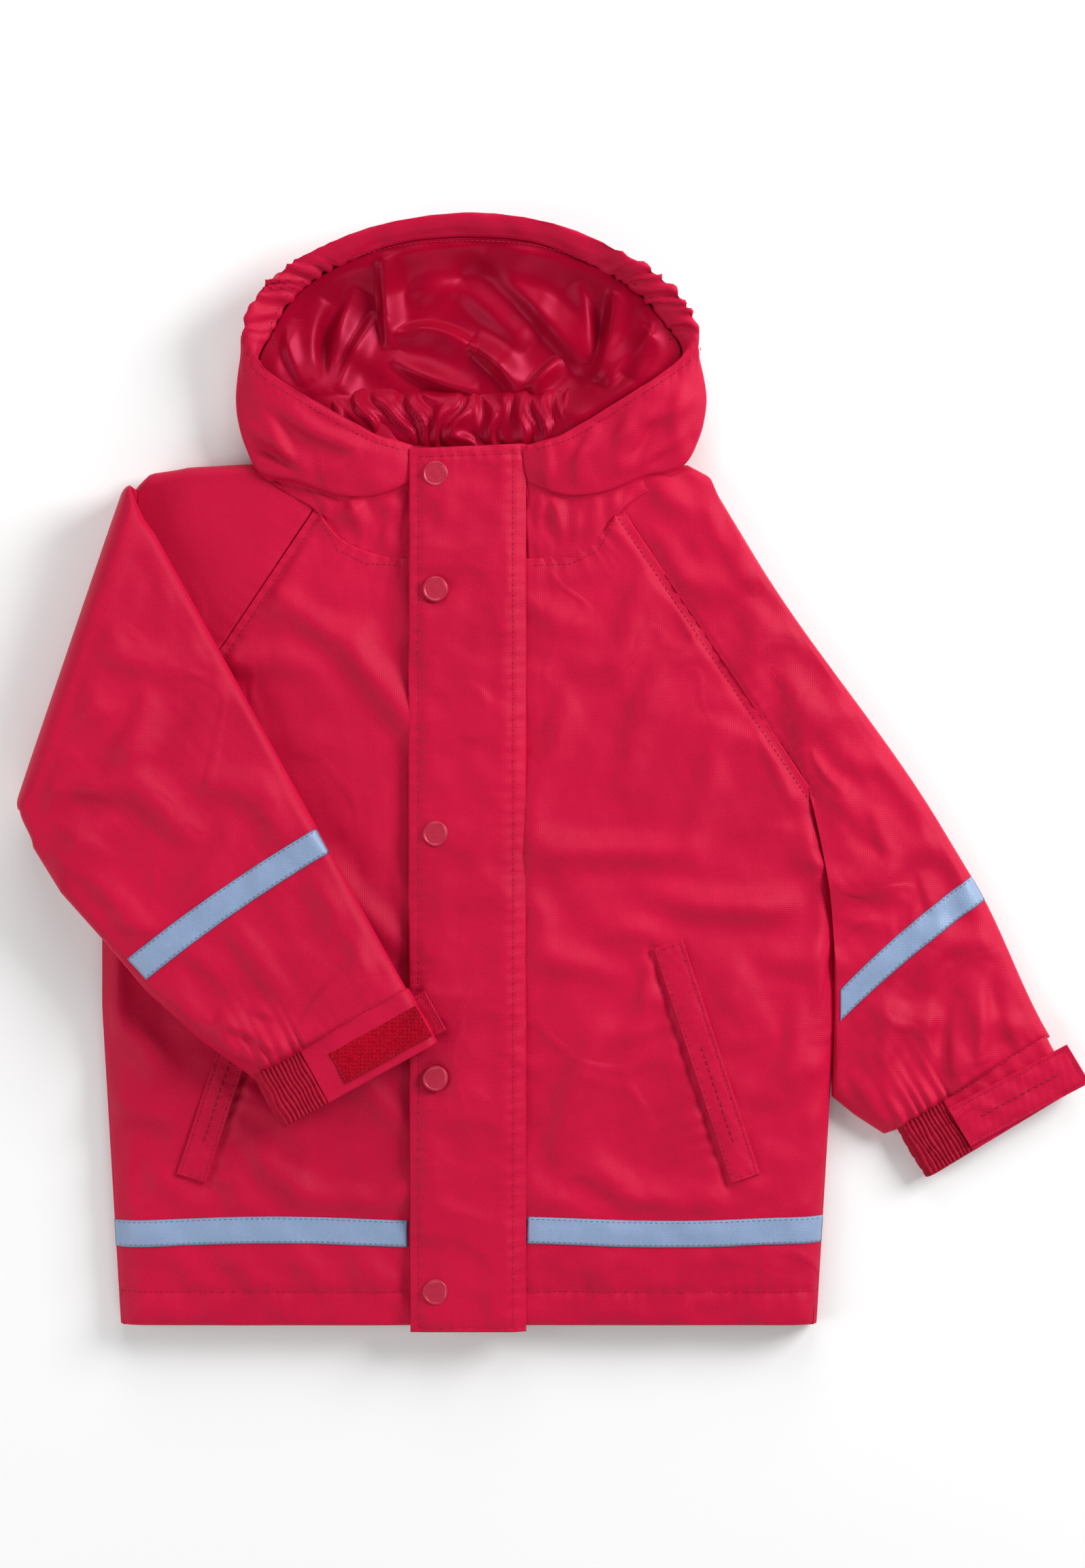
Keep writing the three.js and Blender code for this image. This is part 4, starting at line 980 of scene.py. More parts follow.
rightSleeveFolds = [
    ((-252, 54), (-228, 60), (-200, 52), 7, 2.6, 0.4), ((-246, 36), (-222, 30), (-204, 12), 7, 2.4, -0.3),
    ((-236, 16), (-208, 4), (-196, -18), 7, 2.2, 0.3), ((-220, 76), (-190, 84), (-160, 74), 9, 2.0, 0.3),
    ((-232, 90), (-214, 104), (-196, 100), 7, 1.9, -0.3), ((-190, 190), (-192, 164), (-206, 140), 8, 1.6,
                                                           0.3),
    ((-190, 140), (-178, 110), (-184, 80), 12, 1.6, 0.3), ((-160, 130), (-150, 96), (-158, 60), 12, 1.4, 0.2),
    ((-146, -78), (-124, -80), (-103, -99), 5, 3.6, 0.5), ((-146, -92), (-128, -97), (-108, -104), 5, 3.4,
                                                           0.4),
    ((-190, -50), (-160, -72), (-124, -100), 7, 3.0, 0.3), ((-126, -70), (-116, -72), (-108, -77), 4, 1.8,
                                                            0.4),
    ((-110, -30), (-90, -50), (-84, -74), 8, 1.6, 0.3), ((-80, 0), (-66, -24), (-60, -50), 8, 1.4, 0.3),
    ((-176, -30), (-150, -40), (-130, -66), 8, 2.0, 0.3), ((-128, 20), (-110, 0), (-100, -30), 10, 1.5, 0.3),
    ((-110, 60), (-96, 40), (-92, 16), 9, 1.3, -0.3), ((-206, -18), (-186, -26), (-168, -24), 6, 1.8, 0.3),
    ((-70, -52), (-88, -62), (-96, -84), 4, 1.8, 0.4),
]
rightCuffLine = onSleeve(rightSleeve, rightSleeve["cuffSeam"], np.linspace(0, cuff["width"], 12))
seams = [highOver, rightCuffLine, [foldHigh, foldLow]]
seams += [onSleeve(rightSleeve, np.linspace(s0, s0 + 13, 9), np.linspace(0, 132, 9)) for s0 in (227, 243)]
loose = settled(x, y, (-266, -18, -116, 246), seams, 122, slack=0.02, tallest=5.0)
visible = 0.8 * ripple(x, y, 80, 121) + rightSleeve["loose"] * loose + 0.1 * ripple(x, y, 12, 123)
visible = visible * smooth(l, 1, 16) * smooth(r, 1, 14)
visible += creases(x, y, rightSleeveFolds) * onTop * smooth(l, 0, 7) * smooth(r, 0, 5)
visible += puckers(x, y, rightCuffLine[7:], 6.5, 16, 1.5, 124) * onTop
visible += puckers(x, y, rightCuffLine[:8], 11, 9, 0.35, 125) * onTop
visible += 2.4 * onTop * smooth(toFold, 280, 320) * smooth(r, 4, 20) * (1 - smooth(r, 40, 70))
hidden = 0.4 * ripple(x, y, 60, 127) * smooth(np.minimum(l, r), 2, 14) * (1 - onTop)
hidden += puckers(x, y, [(-69, 250), (-204, 50)], 9, 8, 0.3, 126) * (1 - onTop)
toFold = np.concatenate([(1 - rows[0]) * 130, 0 * turn, rows[1] * rightSleeve["cuffSeam"]])[:, None]
visible *= smooth(toFold, 4, 40) * onTop
hidden *= smooth(toFold, 4, 40)
rightBend = ("torso", "right_sleeve", (0, 0, 0.0168), (0, 0, 0.0208))
sheetPiece(
    "sleeve_right", grid, 2 * half[:, None], (6.5, 6.5, 0.6, 5.0), shellCloth, "shell", hidden, visible,
    normal=normal, soft="padded", bend=rightBend,
    replaces=("right_shoulder_front", "right_shoulder_back", "right_sleeve_front", "right_sleeve_back"),
)
faces = thicken(grid, 2 * half[:, None], (6.5, 6.5, 0.6, 5.0), normal, hidden, visible)
rightTop = faces[1][count[0] + count[1]:]  # folded over, its underside lies on top
print("sleeves made")

tape = {"width": 16.0, "thick": 0.5, "lift": 0.4, "stitchInset": 1.6}


def tapePiece(name, surface, points, batch, replaces, **ride):
    # a strip that follows the cloth under it: points is a grid of (x, y), across by along
    place, up = onSurface(surface, points[..., 0].ravel(), points[..., 1].ravel())
    grid = (place + up * tape["lift"]).reshape(points.shape[:2] + (3,))
    for _ in range(2):
        grid[1:-1, :, 2] = (grid[:-2, :, 2] + 2 * grid[1:-1, :, 2] + grid[2:, :, 2]) / 4
    dips = 0.35 * ripple(points[..., 0], points[..., 1], 16, 141, stretch=(1, 3))
    top = sheetPiece(
        name, grid, tape["thick"], 0.3, reflectiveTape, "tape", np.maximum(dips,
                                                                           -0.1), replaces=replaces, **ride
    )
    across = np.linspace(0, 1, points.shape[0])
    for share in (tape["stitchInset"] / tape["width"], 1 - tape["stitchInset"] / tape["width"]):
        k = int(np.abs(across - share).argmin())
        sew(batch, top, points[k, 1:-1], pitch=3.1, length=2.0, width=0.42, lift=0.05)


across = np.linspace(0, 1, 13)
for name, side in (("left", 1), ("right", -1)):
    low, high = boxOf("hem_tape_" + name)
    ys = low[1] + across * (high[1] - low[1])
    far = cadEdge("hem_tape_" + name, ys, 1, max if side > 0 else min)
    near = low[0] if side > 0 else high[0]
    u = np.linspace(0, 1, 110)
    xs = near + u[None] * (far[:, None] - side * 0.5 - near)
    wave = 1.2 * np.sin(xs / 31 + side)
    points = np.stack([xs, ys[:, None] + wave], -1)
    tapePiece("hem_tape_cloth_" + name, panels[name], points, "stitches_tape_torso", ("hem_tape_" + name,),
              body="torso")

u = np.linspace(0, 1, 90)


def bow(start, rise):
    # a parabola over u from start to start + rise, bent up the sleeve in the middle
    return (1 - u) ** 2 * start + 2 * u * (1 - u) * (start + rise / 2 - 5) + u**2 * (start + rise)


# The left tape runs from the overarm edge to where the sleeve goes under the body, at x 217.
s = bow(286, 17)[None] + tape["width"] * across[:, None]
lean = math.radians(leftSleeve["lean"])
endT = (leftSleeve["origin"][0] + s[:, -1:] * math.sin(lean) - 217) / math.cos(lean)
startT = -overarmBulge(s[:, :1]) + 0.6
leftPoints = onSleeve(leftSleeve, s, startT + (endT - startT) * u[None])
tapePiece("sleeve_tape_cloth_left", leftTop, leftPoints, "stitches_tape_left", ("left_sleeve_tape",),
          bend=leftBend)
s = bow(227, 13)[None] + tape["width"] * across[:, None]
rightPoints = onSleeve(rightSleeve, s, 0.8 + (131 - 4 * across[:, None]) * u[None])
tapePiece(
    "sleeve_tape_cloth_right", rightTop, rightPoints, "stitches_tape_right", ("right_sleeve_tape",),
    body="right_sleeve",
)
print("tapes made")


def stadium(width, low, high):
    # a flattened ring: half circles joined by straight lines, from the overarm edge over the top and back below
    r = (high - low) / 2
    a = np.linspace(0, np.pi / 2, 12)
    first = np.stack([r - r * np.cos(a), low + r + r * np.sin(a)], -1)
    a = np.linspace(0, np.pi, 24)
    second = np.stack([width - r + r * np.sin(a), low + r + r * np.cos(a)], -1)
    a = np.linspace(0, np.pi / 2, 12)
    third = np.stack([r - r * np.sin(a), low + r - r * np.cos(a)], -1)
    return np.concatenate([first, second, third])


def cuffSheet(name, sleeve, low, high, elastic, seed, replaces, **ride):
    # the ring's outline carried down the sleeve, in two parts: plain band and gathered elastic
    ring = stadium(cuff["width"] - 1, low, high)
    length = lineLength(ring)
    edge = (np.pi * (high - low) / 4 + cuff["band"] - (high - low) / 2) / length
    span = (edge, 1 - edge) if elastic else (-edge, edge)
    step = 0.62 if elastic else 1.8
    q = span[0] + (span[1] - span[0]) * stations((span[1] - span[0]) * length, step, 1.0)
    v = stations(cuff["height"] + 3, 1.5, 1.0)
    tz = alongLine(ring, q % 1)
    s = sleeve["cuffSeam"] - 3 + v * (cuff["height"] + 3)
    flat = onSleeve(sleeve, s[:, None], tz[None, :, 0])
    grid = np.concatenate([flat, np.broadcast_to(tz[None, :, 1:], flat.shape[:2] + (1,))], -1)
    normal = normalsOf(grid)
    centre = grid.mean((0, 1))
    if ((grid - centre) * normal).sum(-1).mean() < 0:
        normal = -normal
    along, around = s[:, None] - sleeve["cuffSeam"], q[None] * length
    if elastic:
        wobble = 1.1 * ripple(along + 0 * around, around + 0 * along, 22, seed, stretch=(1, 0.6))
        relief = cuff["ribHeight"] * np.cos(2 * np.pi * around / cuff["ribPitch"] + wobble)
        relief = relief - 0.5 * np.exp(-(((along % 8 - 4) / 0.9) ** 2))
        relief = relief + 0.7 * np.sin(np.clip(along / cuff["height"], 0, 1) * np.pi)
    else:
        relief = 0.35 * ripple(along + 0 * around, around + 0 * along, 18, seed)
        relief = relief - 0.45 * np.exp(-(((along - 29) / 1.3) ** 2))
    material, slot, soft = (elasticCloth, "elastic", "gathered") if elastic else (shellCloth, "shell", "laid")
    sheetPiece(
        name, grid, cuff["thick"], (0.8, 0.8, 0.9, 0.9), material, slot, relief,
        normal=normal, soft=soft, replaces=replaces, **ride,
    )


def strip(sleeve, s0, s1, t0, t1, height, step, skew=0.0):
    # a flat strip in a sleeve's own directions
    u, v = stations(abs(t1 - t0), step, 0.8), stations(s1 - s0, step, 0.8)
    t = t0 + (t1 - t0) * u[None] + 0 * v[:, None]
    s = s0 + (s1 - s0) * v[:, None] + skew * np.abs(t - t0) / abs(t1 - t0)
    flat = onSleeve(sleeve, s, t)
    return np.concatenate([flat, np.full(t.shape + (1,), height)], -1), s, t


rightUnder = boxOf("right_cuff_band")[0][2]
for name, sleeve, bandLow, elasticLow, seed in (
    ("left", leftSleeve, 1.9, 2.8, 151),
    ("right", rightSleeve, rightUnder + 0.1, rightUnder + 0.5, 153),
):
    top = boxOf(name + "_cuff_band")[1][2]
    ride = {"body": name + "_sleeve"}
    cuffSheet("cuff_band_" + name, sleeve, bandLow, top - 0.2, False, seed, (name + "_cuff_band",), **ride)
    cuffSheet("cuff_elastic_" + name, sleeve, elasticLow, top - 0.8, True, seed + 1,
              (name + "_cuff_elastic",), **ride)


patch = {"start": 8.0, "width": 20.0, "over": -0.5, "under": 57.0, "sewn": 1.4}


def loopPatch(name, sleeve, seed):
    # a pile of fine loops: noise at two sizes on a low pad
    node, ride = name + "_loop_patch", name + "_sleeve"
    low, high = boxOf(node)
    s0 = sleeve["cuffSeam"] + patch["start"]
    s1 = s0 + patch["width"]
    grid, s, t = strip(sleeve, s0, s1, patch["over"], patch["under"], (low[2] + high[2]) / 2, 0.75)
    inner = np.minimum(np.minimum(s - s0, s1 - s), np.minimum(t + 1, patch["under"] - t))
    pile = np.random.default_rng(seed).normal(0, 0.16, s.shape) + 0.2 * ripple(s, t, 3.2, seed)
    top = sheetPiece(
        f"loop_patch_{name}_pile", grid, high[2] - low[2], 0.7, loopPile, "loop",
        (pile + 0.45) * smooth(inner, 1.6, 3), body=ride, replaces=(node,),
    )
    a, b = s0 + patch["sewn"], s1 - patch["sewn"]
    c, d = patch["over"] + patch["sewn"], patch["under"] - patch["sewn"]
    sew("stitches_" + ride, top, onSleeve(sleeve, [a, a, b, b, a], [c, d, d, c, c]), pitch=2.6, length=1.9,
        width=0.42)


loopPatch("left", leftSleeve, 155)
loopPatch("right", rightSleeve, 156)
tab = {"length": 79.0, "width": 26.0, "sewn": 2.4, "rowStart": 14.0, "rowStep": 2.0, "rowPoints": 27}


def cuffTab(name, sleeve, seed, skew, node, ride):
    # a strip with a sewn edge; the open left one lifts at its free end and has a plain row of raised thread
    low, high = boxOf(node)
    free, half = ride == "left_cuff_tab", tab["width"] / 2
    s0 = sleeve["cuffSeam"] + cuff["height"] / 2 - half
    t0, t1 = cuff["band"], cuff["band"] - tab["length"]
    grid, s, t = strip(sleeve, s0, s0 + tab["width"], t0, t1, (low[2] + high[2]) / 2, 1.2, skew)
    wave = 0.35 * ripple(s, t, 20, seed) + 0.12 * ripple(s, t, 7, seed + 1)
    if free:
        wave += 0.9 * smooth(t0 - t, 55, tab["length"]) * smooth(np.abs(s - s0 - half), 4, 14)
    near, far = s0 + tab["sewn"], s0 + tab["width"] - tab["sewn"]
    ringT = np.array([t0 - 1, t1 + tab["sewn"], t1 + tab["sewn"], t0 - 1])
    corners = onSleeve(sleeve, np.array([near, near, far, far]) + skew * (t0 - ringT) / tab["length"], ringT)
    relief = wave + groove(grid[..., 0], grid[..., 1], corners, 1.1, 0.3)
    top = sheetPiece(name, grid, high[2] - low[2], 0.7, shellCloth, "shell", relief, body=ride,
                     replaces=(node,))
    sew("stitches_" + ride, top, corners, pitch=2.6, length=1.9, width=0.45)
    if free:
        along = tab["rowStart"] + tab["rowStep"] * np.arange(tab["rowPoints"])
        middle = onSleeve(sleeve, s0 + half + skew * along / tab["length"], t0 - along)
        sew("stitches_" + ride, top, middle, pitch=4.2, length=3.0, width=1.0, lift=0.25)


cuffTab("cuff_tab_left", leftSleeve, 157, 4.0, "left_cuff_tab", "left_cuff_tab")
cuffTab("cuff_tab_right", rightSleeve, 158, 0.0, "right_cuff_tab", "right_sleeve")
for sleeve, surface, batch, bulge in (
    (leftSleeve, leftTop, "stitches_left_sleeve", 1.5), (rightSleeve, rightTop, "stitches_right_sleeve", -1)
):
    line = onSleeve(sleeve, np.full(8, sleeve["cuffSeam"] - 3.0), np.linspace(-bulge, cuff["band"], 8))
    sew(batch, surface, line, lift=0.25)
print("cuffs made")


for name, side in (("left", 1), ("right", -1)):
    u, v = stations(pocket["width"], 1.2, 1.0), stations(pocket["length"], 1.8, 1.0)
    t, s = (u - 0.5)[None] * pocket["width"] + 0 * v[:, None], v[:, None] * pocket["length"] + 0 * u[None]
    flat = pocketPoint(side, s, t)
    place, _ = onSurface(panels[name], flat[..., 0].ravel(), flat[..., 1].ravel())
    grid = place.reshape(s.shape + (3,))
    base = grid[..., 2].copy()
    for _ in range(14):
        base[1:-1, 1:-1] = (base[:-2, 1:-1] + base[2:, 1:-1] + base[1:-1, :-2] + base[1:-1, 2:]) / 4
    gape = 1.1 * (1 - smooth(t, -9, -4)) * np.sin(np.pi * np.clip(s / pocket["length"], 0, 1))
    grid[..., 2] = np.maximum(base, grid[..., 2] - 0.6) + pocket["lift"] + gape
    relief = 0.35 * ripple(s, t, 26, 161) + 0.12 * ripple(s, t, 8, 162)
    near, far, across = pocket["sewn"], pocket["length"] - pocket["sewn"], pocket["width"] / 2 - pocket["sewn"]
    ring = pocketPoint(side, np.array([near, far, far, near, near]), np.array([-1, -1, 1, 1, -1]) * across)
    x, y = grid[..., 0], grid[..., 1]
    relief += groove(x, y, ring, 1.2, 0.35) + puckers(x, y, ring, 7, 4, 0.2, 163)
    top = sheetPiece(
        "pocket_welt_cloth_" + name, grid, pocket["thick"], 0.9, shellCloth, "shell", relief,
        body="torso", replaces=("pocket_welt_" + name,),
    )
    row = pocketPoint(side, np.array(pocket["row"]), np.zeros(2))
    sew("stitches_torso", top, ring, pitch=2.8, length=2.0)
    sew("stitches_torso", top, row, pitch=4.2, length=3.0, width=1.0, lift=0.25)
    bagLow, bagHigh = boxOf("pocket_bag_" + name)
    corners = pocketPoint(side, np.array([4, 140, 150, 20.0]), np.array([8, 8, -82, -82.0]))
    u, v = stations(90, 4, 0.8), stations(140, 4, 0.8)
    flat = coons(corners[[0, 3]], corners[[3, 2]], corners[[1, 2]], corners[[0, 1]], u, v)
    grid = np.concatenate([flat, np.full(flat.shape[:2] + (1,), (bagLow[2] + bagHigh[2]) / 2)], -1)
    wave = 0.25 * ripple(flat[..., 0], flat[..., 1], 30, 164)
    sheetPiece(
        "pocket_bag_cloth_" + name, grid, pocket["bagThick"], 0.6, liningSatin, "lining", wave, wave,
        body="torso", replaces=("pocket_bag_" + name,),
    )
print("pockets made")

# From the front of the opening round one side to the crown, the jacket's left side, in millimetres:
# the rim of the opening, the edge of the soft roll below it, the tuck under that roll, and the foot.
hoodKeys = {
    "rim": [(0, 254.5, 19.2), (30, 255.2, 19.4), (34, 255.8, 20), (39, 257, 21.5), (58, 263, 26),
            (84, 278, 29),
            (107, 292, 30.5), (124, 304, 31.5), (132, 315, 32), (131, 327, 33), (118, 345, 34), (95, 362, 35),
            (52, 381, 36), (2, 388, 36)],
    "roll": [(0, 252, 18.6), (30, 252.5, 18.8), (34.2, 238, 20.2), (39, 234, 21), (57, 228, 22.6),
             (80, 230.5, 23.6),
             (103, 241, 23.8), (128, 251, 22), (139, 284, 20), (129, 324, 18), (115, 342, 18), (92, 359, 19),
             (50.5, 378, 19), (2, 385, 19)],
    "tuck": [(0, 251, 17.8), (30, 251.5, 17.8), (34, 231, 18.2), (39, 227.5, 18.4), (58, 223, 18.4),
             (80, 226.5, 18.4),
             (102, 236, 18.4), (127, 245.5, 17.5), (137, 282, 7), (127, 322, 6), (113, 340, 6), (90, 357, 6),
             (49.5, 376, 6), (2, 383, 6)],
    "foot": [(0, 250, 16.6), (30, 250, 16.6), (34, 196, 17), (39, 188.2, 16.8), (58, 189, 16.8),
             (77.6, 200.4, 16.8),
             (90.8, 220, 16.8), (120, 242, 16), (134, 276, 2.5), (125, 320, 0.5), (111, 338, 0.5), (88, 355,
                                                                                                    0.5),
             (48.5, 374, 0.5), (2, 381, 0.5)],
}
hood = {
    "around": 300,  # points in one ring
    "facing": (11.5, 17.0),  # its width at the crown and at the sides
    "facingDrop": 8.0,
    "centre": (2.0, 322.0),
    "sole": 0.4,
    "floorTop": 3.8,
    "lean": 4.0,
    "narrow": 0.968,  # the right half's width as a share of the left's
    "keyWidth": 272,  # the keys' own size, to scale them to the CAD's hood
    "keyHeight": 131,
    "cut": (420, 330),
    "liningCut": (300, 170),
    "gather": 9.0,
    "loose": 0.5,
}
brimLow, brimHigh = boxOf("hood_brim")
hoodWide = (brimHigh[0] - brimLow[0]) / hood["keyWidth"]
hoodTall = (brimHigh[1] - flapHigh[1]) / hood["keyHeight"]


def hoodRing(name, t):
    # the keys of one side and their mirror, as one closed smooth ring, scaled to the CAD's hood
    half = np.array(hoodKeys[name], float)
    half[:, 0] = np.where(np.abs(half[:, 0]) > 45, half[:, 0] * hoodWide, half[:, 0])
    half[:, 1] = np.where(half[:, 1] > flapHigh[1], flapHigh[1] + (half[:, 1] - flapHigh[1]) * hoodTall,
                          half[:, 1])
    other = half[-2:0:-1] * (-hood["narrow"], 1, 1)
    other[:, 1] -= hood["lean"] * smooth(np.abs(other[:, 0]), 40,
                                         120) * (1 - 2 * smooth(other[:, 1], 300, 318))
    ring = np.concatenate([half, other])
    count = len(ring)
    again = np.concatenate([ring[-1:], ring, ring[:2]])
    place = np.asarray(t) % 1 * count
    i, f = place.astype(int), (place - place.astype(int))[:, None]
    return cubic(again[i], again[i + 1], again[i + 2], again[i + 3], f)


def spread(rings, counts):
    # Catmull-Rom from ring to ring, with its own number of steps in each interval
    rings = np.array(rings)
    t = np.concatenate([k + np.arange(n) / n for k, n in enumerate(counts)] + [[len(counts)]])
    return through(rings.reshape(len(rings), -1), t / len(counts)).reshape(len(t), -1, 3), t


t = np.arange(hood["around"]) / hood["around"]
rim, roll, tuck, foot = (hoodRing(k, t) for k in ("rim", "roll", "tuck", "foot"))
centre = np.array(hood["centre"])
backness = smooth(rim[:, 1], 292, 330)[:, None]
inward = np.concatenate([centre - rim[:, :2], np.zeros((len(t), 1))], 1)
inward /= np.linalg.norm(inward, axis=1, keepdims=True)
wide = np.interp(np.abs(rim[:, 0]), [40, 110], hood["facing"])[:, None]
facing = rim + inward * (wide * backness - 5 * (1 - backness))
facing[:, 2] -= 2.5 + (hood["facingDrop"] - 2.5) * backness[:, 0]
ridge = (rim + roll) / 2 + [0, 0, 0.4]
ridge[:, 2] -= 2.0 * backness[:, 0]
inner = facing + inward * 4
inner[:, 2] = np.minimum(facing[:, 2] - 6, 9)
middle = np.array([*centre, 0.0])
floorIn = inner * 0.55 + middle * 0.45
floorIn[:, 2] = hood["floorTop"]
soleOut = foot * 0.9 + middle * 0.1
soleOut[:, 2] = hood["sole"] + 9 * (1 - smooth(foot[:, 1], 244, 262))
soleIn = foot * 0.5 + middle * 0.5
soleIn[:, 2] = hood["sole"]
sections = [soleIn, soleOut, foot, tuck, roll, ridge, rim, facing, inner, floorIn]
rings, stage = spread(sections, [6, 4, 10, 5, 9, 14, 9, 5, 6])  # stage counts the sections from 0
x, y = rings[..., 0], rings[..., 1]
normal = np.cross(np.roll(rings, -1, 1) - np.roll(rings, 1, 1), np.gradient(rings, axis=0))
normal /= np.maximum(np.linalg.norm(normal, axis=2, keepdims=True), 1e-9)
if normal[int(np.abs(stage - 4.5).argmin()), :, 2].mean() < 0:
    normal = -normal
hoodFolds = [
    ((132, 300), (112, 272), (126, 252), 6, 3.0, 0.4), ((124, 292), (96, 262), (60, 246), 6, 2.6, 0.4),
    ((134, 284), (116, 270), (98, 268), 4, 2.6, -0.4), ((128, 262), (110, 252), (86, 240), 4, 3.0, 0.5),
    ((100, 282), (84, 258), (90, 238), 6, 2.2, 0.4), ((76, 266), (60, 250), (64, 232), 4, 2.6, 0.4),
    ((44, 258), (50, 246), (44, 232), 4, 2.4, -0.4), ((-118, 282), (-96, 262), (-62, 252), 5, 2.8, 0.4),
    ((-130, 268), (-108, 252), (-92, 240), 4, 4.0, 0.5), ((-132, 252), (-112, 252), (-100, 240), 3.5, -3.4,
                                                          0.4),
    ((-106, 278), (-84, 258), (-46, 250), 5, 2.2, -0.4), ((-124, 276), (-106, 262), (-108, 244), 4, 2.6, 0.4),
    ((-62, 250), (-76, 244), (-88, 236), 4, 2.4, 0.4), ((134, 262), (120, 254), (104, 242), 3.5, -2.8, 0.4),
    ((112, 276), (104, 262), (96, 242), 2.5, -1.4, 0.2), ((-112, 274), (-104, 262), (-97, 240), 2.5, -1.2,
                                                          0.2),
]
collarFolds = [
    ((-74, 236), (-66, 222), (-62, 200), 4, 2.8, 0.5), ((-58, 232), (-62, 220), (-76, 206), 4, 2.0, -0.4),
    ((-44, 232), (-50, 214), (-46, 196), 5, 1.8, 0.3), ((-92, 240), (-84, 226), (-80, 212), 4, 2.2, 0.4),
    ((49, 228), (52, 214), (55, 198), 4, 3.2, 0.5), ((72, 232), (78, 220), (70, 204), 4, 2.4, -0.4),
    ((62, 226), (60, 212), (66, 200), 4, 1.8, 0.4), ((92, 240), (84, 228), (82, 214), 4, 2.4, 0.4),
    ((40, 222), (44, 208), (41, 194), 4, 1.6, 0.3),
]
onRoll = smooth(stage, 3.2, 4.2)[:, None] * (1 - smooth(stage, 5.7, 6.1)[:, None]) * (1 - backness.T)
relief = (creases(x, y, hoodFolds) + 1.2 * ripple(x, y, 50, 171) + 0.4 * ripple(x, y, 20, 172)) * onRoll
collar = smooth(stage, 2.05, 2.4)[:, None] * (1 - smooth(stage, 2.9, 3.3)[:, None])
collar = collar * (1 - smooth(foot[:, 1], 240, 256))[None]
relief += collar * (creases(x, y, collarFolds) + 0.8 * ripple(x, y, 20, 173) + 0.3 * ripple(x, y, 9, 174))
ringLength = np.concatenate([[0], np.cumsum(np.linalg.norm(np.diff(rim, axis=0), axis=1))])
gatherLeft = np.exp(-(((rim[:, 0] - 112) / 24) ** 2)) * smooth(rim[:, 1], 306, 330)
gatherRight = np.exp(-(((rim[:, 0] + 110) / 20) ** 2)) * smooth(rim[:, 1], 306, 330)
gather = (gatherLeft + gatherRight)[None] * smooth(stage, 4.6, 5.4)[:,
                                                                    None] * (1 - smooth(stage, 7.2, 7.8)[:,
                                                                                                         None])
wobble = 2.4 * ripple(ringLength[None] + 0 * x, stage[:, None] * 12 + 0 * x, 26, 175)
gather = gather * (0.9 + 0.5 * ripple(x, y, 24, 180))
relief += 1.9 * gather * np.cos(2 * np.pi * ringLength[None] / hood["gather"] + wobble)
onFacing = smooth(stage, 5.9, 6.2)[:, None] * (1 - smooth(stage, 6.9, 7.1)[:, None])
relief += onFacing * (0.8 * ripple(x, y, 34, 176) + 0.25 * ripple(x, y, 12, 177))
relief -= 0.7 * np.exp(-(((stage[:, None] - 6.82) / 0.06) ** 2)) * backness.T
relief += 0.3 * np.cos(2 * np.pi * ringLength[None] / 6) * np.exp(-(((stage[:, None] - 5.72) / 0.12) ** 2))
wall = (stage[:, None] > 1.9) & (stage[:, None] < 5.6)
relief += 1.0 * ripple(ringLength[None] + 0 * x, rings[..., 2] * 2, 60, 178) * wall * backness.T
underside = (1 - smooth(stage, 1.2, 1.9))[:, None]
relief -= 0.3 * underside * (1 + ripple(x, y, 50, 179)) * (foot[:, 1] > 256)
hoodShell = rings + normal * relief[..., None]
hoodShell[..., 2] = np.maximum(hoodShell[..., 2], 0.1)
rollRows = np.flatnonzero((stage >= 4.0) & (stage <= 6.0))
facingRows = np.flatnonzero((stage >= 6.0) & (stage <= 7.0))
hoodBend = ("torso", "hood", (0, 0.286, 0), (0, 0.322, 0))
poles = np.array([[*centre, hood["sole"]], [*centre, hood["floorTop"]]])
hoodPiece = makeRings(
    "hood_shell", hoodShell, poles, shellCloth, "shell", bend=hoodBend,
    replaces=(
        "hood_back", "hood_crown", "hood_side_left", "hood_side_right", "hood_brim", "hood_base",
        "collar_left", "collar_right",
    ),
)
declareSheet(hoodPiece)

# The satin lining is a bowl inside the facing, with large soft folds.
liningFolds = [
    ((-49, 368), (-50, 340), (-46, 312), 5, 8.0, 0.7), ((-42, 318), (-22, 332), (4, 312), 6, 7.5, -0.5),
    ((0, 316), (20, 304), (30, 286), 6, 7.0, 0.5), ((-45, 308), (-24, 292), (6, 288), 5, 6.0, 0.4),
    ((10, 368), (44, 336), (76, 294), 10, 7.5, 0.5), ((85, 346), (84, 318), (74, 294), 5, 8.0, 0.6),
    ((106, 322), (88, 308), (78, 290), 6, 5.5, -0.4), ((-64, 348), (-82, 314), (-79, 284), 6, 6.5, 0.5),
    ((-82, 340), (-98, 320), (-84, 284), 6, 5.5, -0.4), ((-53, 334), (-70, 306), (-75, 286), 5, 5.5, 0.4),
    ((54, 308), (44, 298), (34, 288), 4, 6.0, 0.5), ((-6, 352), (16, 334), (36, 314), 10, 4.5, 0.4),
    ((-104, 330), (-108, 312), (-94, 290), 5, 4.5, 0.4), ((112, 330), (104, 312), (92, 296), 6, 4.5, 0.5),
    ((62, 350), (72, 330), (70, 304), 6, 4.5, -0.5), ((-36, 346), (-22, 344), (-4, 354), 8, 3.0, 0.3),
]
edge = facing + inward * 0.8
edge[:, 2] = facing[:, 2] - 1.2 * backness[:, 0] - 1.5 * (1 - backness[:, 0])
shares = np.concatenate([[0, 0.006, 0.015, 0.03], np.linspace(0.055, 0.985, 74)])[:, None, None]
bowl = edge[None] * (1 - shares) + np.array([*centre, 0.0]) * shares
